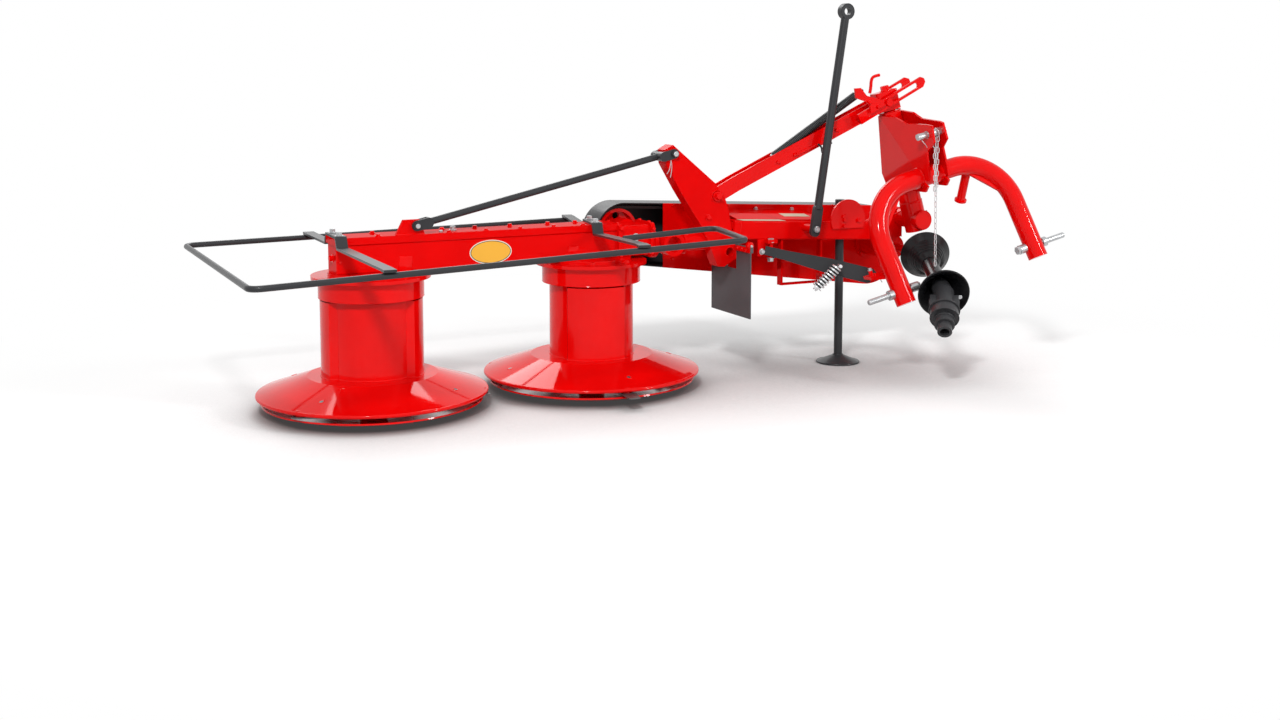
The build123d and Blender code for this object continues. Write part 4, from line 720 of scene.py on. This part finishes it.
def coil(bm, start, along, radius, gauge, turns, length, steps=16, sides=6):
    """A round wire wound about along."""
    circle = bmesh.ops.create_circle(bm, segments=sides, radius=gauge, matrix=(
        Matrix.Translation((radius, 0, 0)) @ Matrix.Rotation(pi / 2, 4, "X")))["verts"]
    lines = list({edge for vert in circle for edge in vert.link_edges})
    bmesh.ops.spin(
        bm, geom=circle + lines, cent=(0, 0, 0), axis=(0, 0, 1), dvec=(0, 0, length / turns / steps),
        angle=2 * pi * turns, steps=round(turns * steps), use_merge=False,
    )
    bmesh.ops.transform(bm, matrix=aim(start, along), verts=bm.verts)


coil_r, coil_gauge, coil_turns = 0.0138, 0.0030, 68
end_room, hook_gauge = 0.004, 0.0045
spring = bmesh.new()
coil(spring, spring_start + spring_x * end_room, spring_x, coil_r, coil_gauge, coil_turns,
     spring_long - 2 * end_room)
wire(spring, [
    on_crank(168, 0, -22), on_crank(168, 0, 10),
    spring_start - spring_x * 0.012, spring_start + spring_x * 0.008,
], hook_gauge)
spring_tip = spring_start + spring_x * spring_long
wire(spring, [spring_tip + spring_x * reach for reach in (-0.008, 0.012, 0.033)], hook_gauge)
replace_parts(piece("relief_spring_coil", spring, black_wire, "arm"), "relief_spring")
plug_r, plug_long = 0.0115, 0.012
spring_plug = bmesh.new()
drum(spring_plug, spring_tip - spring_x * 0.002, spring_x, plug_r, plug_long)
drum(spring_plug, spring_start - spring_x * end_room, spring_x, plug_r, plug_long)
piece("relief_spring_plugs", spring_plug, zinc_plate, "arm")
hook_y = -130
hook = bmesh.new()
hook_route = [
    spot(x, hook_y, z) for x, z in ((1998, 1088), (2003, 1108), (2004, 1140), (2014, 1156), (2043, 1160))
]
wire(hook, hook_route, 0.0065)
piece("relief_hook_lever", hook, red_enamel, "arm")

# Latch: a flat red bar along the arm's near side, held by two rivets. A trigger of bent black wire
# hangs under it.
latch_size = (0.176, 0.004, 0.0105)
latch_mid = on_crank(352, -27.2, -17)
latch_dir = Matrix.Rotation(radians(4), 3, crank_y) @ crank_x
latch_up = latch_dir.cross(crank_y)
latch_frame = Matrix((latch_dir, crank_y, latch_up)).transposed().to_4x4()
latch_shape = Matrix.Translation(latch_mid) @ latch_frame @ Matrix.Diagonal((*latch_size, 1))
latch_bar = bmesh.new()
bmesh.ops.create_cube(latch_bar, size=1, matrix=latch_shape)
bmesh.ops.bevel(
    latch_bar, geom=latch_bar.edges[:], offset=0.0009, affect="EDGES", segments=2, profile=0.5, material=-1,
)
for rivet_x in (-0.074, 0.060):
    bolt(latch_bar, latch_mid + latch_dir * rivet_x - crank_y * 0.002, -crank_y, 0.009, washer=False)
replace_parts(piece("latch_bar", latch_bar, red_enamel, "arm"), "latch_lever")
trigger_y, trigger_gauge = -33, 0.004
trigger = bmesh.new()
for bends in (
    ((372, -16), (384, -30), (372, -56), (392, -66), (404, -58)), ((408, -12), (420, -22), (426, -40)),
):
    wire(trigger, [on_crank(x, trigger_y, z) for x, z in bends], trigger_gauge)
piece("latch_trigger", trigger, black_enamel, "arm")

# Pivot block: a turned boss on the frame's pin, welded to the socket of the king pin. Its front is
# closed by a pressed cap, and a grease nipple stands beside it.
dress(red_enamel, "pivot_block", "swivel_head")
king_y, cap_front_y = -180, -241.5
king = spot(pivot_x, king_y, pivot_z)
head_tilt, head_rake, head_yaw = radians(13.5), radians(5), radians(-3.6)
head_z = Vector((-sin(head_tilt) * cos(head_rake), sin(head_rake), cos(head_tilt) * cos(head_rake)))
head_x = Matrix.Rotation(head_yaw, 3, head_z) @ Vector((cos(head_tilt), 0, sin(head_tilt)))
head_y = head_z.cross(head_x)


def on_head(x, y, z):
    """A place on the headstock from the king pin's foot: x to the right pin, y back, z up the pin."""
    return king + (head_x * x + head_y * y + head_z * z) / 1000


cap_outline = [(0, 0), (0.036, 0), (0.0385, -0.004), (0.0385, -0.006)]
pivot_bits = bmesh.new()
lathe(pivot_bits, cap_outline, aim(spot(pivot_x, cap_front_y, pivot_z), to_front), 40)
bead(pivot_bits, around(king, 0.0395, to_front, 36), 0.003, closed=True)
ring(pivot_bits, on_head(0, 0, 71), head_z, 0.0445, 0.002, steps=40)
piece("pivot_block_fittings", pivot_bits, red_enamel, "pivot")
nipple = bmesh.new()
drum(nipple, on_head(40, -23, 20), head_x * 0.87 - head_y * 0.5, 0.004, 0.010)
piece("pivot_grease_nipple", nipple, zinc_plate, "pivot")
swivel_bits = bmesh.new()
bolt(swivel_bits, on_head(2, 0, 530), head_z, 0.030)
bead(swivel_bits, around(on_head(0, 0, 452), 0.030, head_z, 24), 0.002, closed=True)
piece("swivel_fittings", swivel_bits, red_enamel, "pivot")

# Headstock: a column round the king pin between two bent mast plates, and an arch of one bent tube
# that runs through them. Everything is welded, with long beads where tube and plates meet.
dress(red_enamel, "headstock_column", "mast_plates", "arch_frame")
mast_half, mast_face = 44, 53
crown_y, crown_z, arch_tube_r = -190, 185, 0.0395
column_weld_r = 0.0445
head_welds = bmesh.new()
for side in (-1, 1):
    crown = on_head(side * mast_face, crown_y, crown_z)
    bead(head_welds, around(crown, arch_tube_r, head_x * side, 30), 0.0032, closed=True)
    bead(head_welds, [on_head(side * mast_half, 30, 150), on_head(side * mast_half, 20, 400)], 0.0022)
for column_z in (446, 74):
    bead(head_welds, around(on_head(0, 0, column_z), column_weld_r, head_z, 30), 0.0024, closed=True)
piece("headstock_welds", head_welds, red_enamel, "headstock")

# Hitch pins: turned steel pins, zinc plated, with a collar against the arch's tube and a nut inside
# it. The top-link pin has a groove near its end, and a bent wire cotter hangs from it.
dress(zinc_plate, "lower_hitch_pins", "top_link_pin")
lower_pin_x, lower_pin_y, lower_pin_z = 240, -310, -187
top_pin_y, top_pin_z = -288, 352
pin_bits = bmesh.new()
for side in (-1, 1):
    place = on_head(side * lower_pin_x, lower_pin_y, lower_pin_z)
    bolt(pin_bits, place, -head_x * side, 0.030, washer=False, height=0.012)
ring(pin_bits, on_head(-70, top_pin_y, top_pin_z), head_x, 0.0125, 0.0008)
ring(pin_bits, on_head(44, top_pin_y, top_pin_z), head_x, 0.0150, 0.0020)
piece("hitch_pin_fittings", pin_bits, zinc_plate, "headstock")
pin_ring = bmesh.new()
cotter_route = [
    on_head(-62, -288, 338), on_head(-60, -296, 326), on_head(-54, -300, 314), on_head(-50, -294, 306),
]
wire(pin_ring, cotter_route, 0.0016)
piece("top_pin_cotter", pin_ring, zinc_plate, "headstock")

# Breakaway bar: a forged black bar from the frame to the headstock's shear lug, which lets the
# mower swing back from an obstacle. A red bolt shears first, and a bright spring holds the bar up.
dress(black_enamel, "breakaway_bar")
bar_x, bar_y = 1563, -106
bar_bits = bmesh.new()
bolt(bar_bits, spot(bar_x, bar_y, 515.2), to_top, 0.022)
bolt(bar_bits, spot(bar_x, bar_y, 455), -to_top, 0.022)
bolt(bar_bits, spot(1529, -95.6, 479), to_front, 0.016)
piece("breakaway_bar_bolts", bar_bits, zinc_plate, "frame")
tab_size = (0.036, 0.006, 0.066)
tab = bmesh.new()
tab_place = Matrix.Translation(spot(1529, -92.6, 494))
bmesh.ops.create_cube(tab, size=1, matrix=tab_place @ Matrix.Diagonal((*tab_size, 1)))
bmesh.ops.bevel(tab, geom=tab.edges[:], offset=0.001, affect="EDGES", segments=2, profile=0.5, material=-1)
piece("bar_end_tab", tab, red_satin, "frame")
shear = bmesh.new()
bolt(shear, on_head(-340, -200, -122), -head_y, 0.018, washer=False, height=0.014)
piece("shear_bolt", shear, red_enamel, "headstock")
shear_nut = bmesh.new()
bolt(shear_nut, on_head(-340, -166, -104), head_z, 0.013)
wire(shear_nut, [
    on_head(-336, -214, -122), on_head(-334, -216, -136), on_head(-328, -216, -152),
], cotter_gauge)
piece("shear_bolt_nut", shear_nut, zinc_plate, "headstock")

bright_wire = metalled(finish("bright_wire", (0.76, 0.77, 0.78), 0.26, low=0.85, waves=60), 0.85)
low, high = spot(1687, -227, 335), spot(1774, -262, 428)
spring_dir = (high - low).normalized()
rod_long = (high - low).length
bar_dir = (spot(1930, -298, 377) - spot(bar_x, bar_y, 478)).normalized()
hang = -to_front.cross(bar_dir).normalized()
bar_up = bar_dir.cross(hang)
cup_place = low + spring_dir * 0.014
rod_r, eye_long = 0.007, 0.0664
bar_spring = bmesh.new()
coil(bar_spring, low + spring_dir * 0.023, spring_dir, 0.0174, 0.0044, 8, rod_long - 0.026, steps=22)
drum(bar_spring, low, spring_dir, rod_r, rod_long + 0.006)
drum(bar_spring, cup_place, spring_dir, 0.0205, 0.004)
bolt(bar_spring, cup_place, -spring_dir, 0.019, washer=False, height=0.010)
drum(bar_spring, high, -bar_up, rod_r, eye_long)
# Guide tube inside the coil, partly real and partly painted shade: made wide and black so that the gaps
# between the turns read dark.
guide_and_shade = bmesh.new()
drum(guide_and_shade, low + spring_dir * 0.020, spring_dir, 0.0128, rod_long - 0.024)
piece("breakaway_spring_guide_and_shade", guide_and_shade, black_enamel, "frame")
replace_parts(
    piece("breakaway_spring_coil", bar_spring, bright_wire, "frame"), "breakaway_spring",
)

# Transport rod: a long black bar that stands up from its bolt on the frame, flattened at the foot,
# with a forged eye at the top for locking the mower up on the road.
dress(black_enamel, "transport_rod")
dress(zinc_plate, "rod_pin")
rod_x, rod_z = 1723, 565
eye_x, eye_z = 1853, 1407
rod_bits = bmesh.new()
bolt(rod_bits, spot(rod_x, -188.3, rod_z), to_front, 0.013, washer=False)
ring(rod_bits, spot(rod_x, -188.5, rod_z), to_front, 0.0105, 0.0012)
piece("rod_bolt_head", rod_bits, zinc_plate, "frame")
eye_rims = bmesh.new()
for rim_y in (-159.2, -184.8):
    ring(eye_rims, spot(eye_x, rim_y, eye_z), -to_front, 0.0290, 0.0014)
piece("rod_eye_rims", eye_rims, black_enamel, "rod")

# Guard hoop: a black bent bar that stands round the discs, welded to two flat straps. Each strap is
# held down on the beam cover by bright bolts.
dress(black_enamel, "guard_hoop", "outer_hoop_strap", "inner_hoop_strap")
strap_top_z, strap_bolt_y, strap_half, rail_half = 623.3, 52, 20, 9.6
strap_bolts = bmesh.new()
strap_welds = bmesh.new()
for strap_x, turn, rails in (
    (-122, radians(-2.2), ((-722, 577.8), (452, 564.3))),
    (850, radians(-11.5), ((-748, 606.6), (452, 580.1))),
):
    for reach in (-strap_bolt_y, strap_bolt_y):
        place = spot(strap_x - reach * sin(turn), reach * cos(turn), strap_top_z)
        bolt(strap_bolts, place, to_top, 0.019)
    across = Vector((cos(turn), sin(turn), 0)) * strap_half / 1000
    for rail_y, rail_z in rails:
        for offset in (rail_y - rail_half, rail_y + rail_half):
            middle = spot(strap_x - offset * sin(turn), offset * cos(turn), rail_z + rail_half)
            bead(strap_welds, [middle - across, middle + across], 0.0026)
piece("strap_bolts", strap_bolts, zinc_plate, "frame")
piece("strap_welds", strap_welds, black_enamel, "frame")

# Power shaft: a sliding shaft in a black plastic tube that ends in two ribbed cones, hung by its
# chain from the top-link pin. A screw closes the front cone, and the yoke shows inside it.
black_plastic = glossed(finish("black_plastic", (0.008, 0.008, 0.009), 0.3, low=0.85), 0.2, 0.2, 1.3)
dress(black_plastic, "shaft_guard")
dress(cast_iron, "shaft_joint")
shaft_back, shaft_front = spot(2188, -256, 449), spot(2040, -575, 345)
shaft_dir = (shaft_front - shaft_back).normalized()
cone_bits = bmesh.new()
for start, way in ((shaft_back, shaft_dir), (shaft_front, -shaft_dir)):
    for along_by, radius in ((0.034, 0.0725), (0.046, 0.0655), (0.058, 0.0585), (0.070, 0.0515)):
        ring(cone_bits, start + way * along_by, way, radius, 0.0022, steps=40)
    ring(cone_bits, start + way * 0.003, way, 0.0962, 0.0020, steps=56)
    ring(cone_bits, start + way * 0.100, way, 0.0335, 0.0035, steps=32)
piece("shaft_cone_ribs", cone_bits, black_plastic, "headstock")
yoke_end = spot(1938, -716, 231)
yoke_dir = (yoke_end - shaft_front).normalized()
yoke_long = (yoke_end - shaft_front).length
yoke_side = yoke_dir.cross(to_top).normalized()
ear_size = (0.030, 0.046, 0.062)
yoke = bmesh.new()
for side in (-1, 1):
    ear_place = aim(shaft_front + yoke_dir * 0.060 + yoke_side * side * 0.038, yoke_dir)
    bmesh.ops.create_cube(yoke, size=1, matrix=ear_place @ Matrix.Diagonal((*ear_size, 1)))
    drum(yoke, shaft_front + yoke_dir * 0.052 + yoke_side * side * 0.040, yoke_side * side, 0.017, 0.016)
corner_angle = 1.2
sharp_edges = [
    edge for edge in yoke.edges if len(edge.link_faces) == 2 and edge.calc_face_angle(0) > corner_angle
]
bmesh.ops.bevel(yoke, geom=sharp_edges, offset=0.002, affect="EDGES", segments=2, profile=0.5, material=-1)
for along_by, radius in ((0.0925, 0.0565), (0.134, 0.0525), (0.146, 0.0365), (yoke_long - 0.036, 0.0355)):
    ring(yoke, shaft_front + yoke_dir * along_by, yoke_dir, radius, 0.0022, steps=40)
piece("shaft_yoke", yoke, cast_iron, "headstock")
cone_screw = bmesh.new()
screw_place = shaft_front - shaft_dir * 0.004 - yoke_side * 0.060 - to_top * 0.012
drum(cone_screw, screw_place, shaft_dir, 0.008, 0.003)
piece("shaft_cone_screw", cone_screw, zinc_plate, "headstock")


# Lift chain: short-link chain of plated wire from the top-link pin to the shaft's tube. Its spare
# length is hooked back up, so the upper part hangs double.
link_long, link_wide, link_gauge = 0.024, 0.013, 0.0017


def chain(bm, start, end, roll):
    """Links of oval wire from start to end, each a quarter turn on from the last."""
    way = (end - start).normalized()
    count = int((end - start).length / (link_long - 2 * link_gauge))
    turn = way.to_track_quat("X", "Z").to_matrix().to_4x4()
    stretch = (link_long - link_wide) / 2
    middle_line = 0.00001
    for number in range(count):
        link = bmesh.new()
        ring(link, Vector((0, 0, 0)), to_top, link_wide / 2 - link_gauge, link_gauge, steps=12, sides=6)
        for vert in link.verts:
            if abs(vert.co.x) > middle_line:
                vert.co.x += stretch if vert.co.x > 0 else -stretch
        centre = start.lerp(end, (number + 0.5) / count)
        quarter = Matrix.Rotation(roll + (pi / 2) * (number % 2), 4, "X")
        bmesh.ops.transform(link, matrix=Matrix.Translation(centre) @ turn @ quarter, verts=link.verts)
        made = bpy.data.meshes.new("link")
        link.to_mesh(made)
        link.free()
        bm.from_mesh(made)
        bpy.data.meshes.remove(made)


pin_shank_r, pin_room = 14.6, 1.25
chain_top = on_head(3, -290, top_pin_z - pin_shank_r - pin_room)
tube_share, tube_rise = 0.54, 0.0344
chain_low = shaft_back.lerp(shaft_front, tube_share) + to_top * tube_rise
side_step = head_x * 0.009
links = bmesh.new()
chain(links, chain_top, chain_low, 0.6)
for top_steps, end_steps, spare_share, roll in ((1, 0.4, 0.44, 0.2), (-0.9, -0.5, 0.42, 1.0)):
    spare_end = chain_top.lerp(chain_low, spare_share) + side_step * end_steps
    chain(links, chain_top + side_step * top_steps, spare_end, roll)
ring(links, chain_top + to_top * 0.013, head_x, 0.0175, 0.0020)
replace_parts(piece("lift_chain_links", links, bright_wire, "headstock"), "lift_chain")
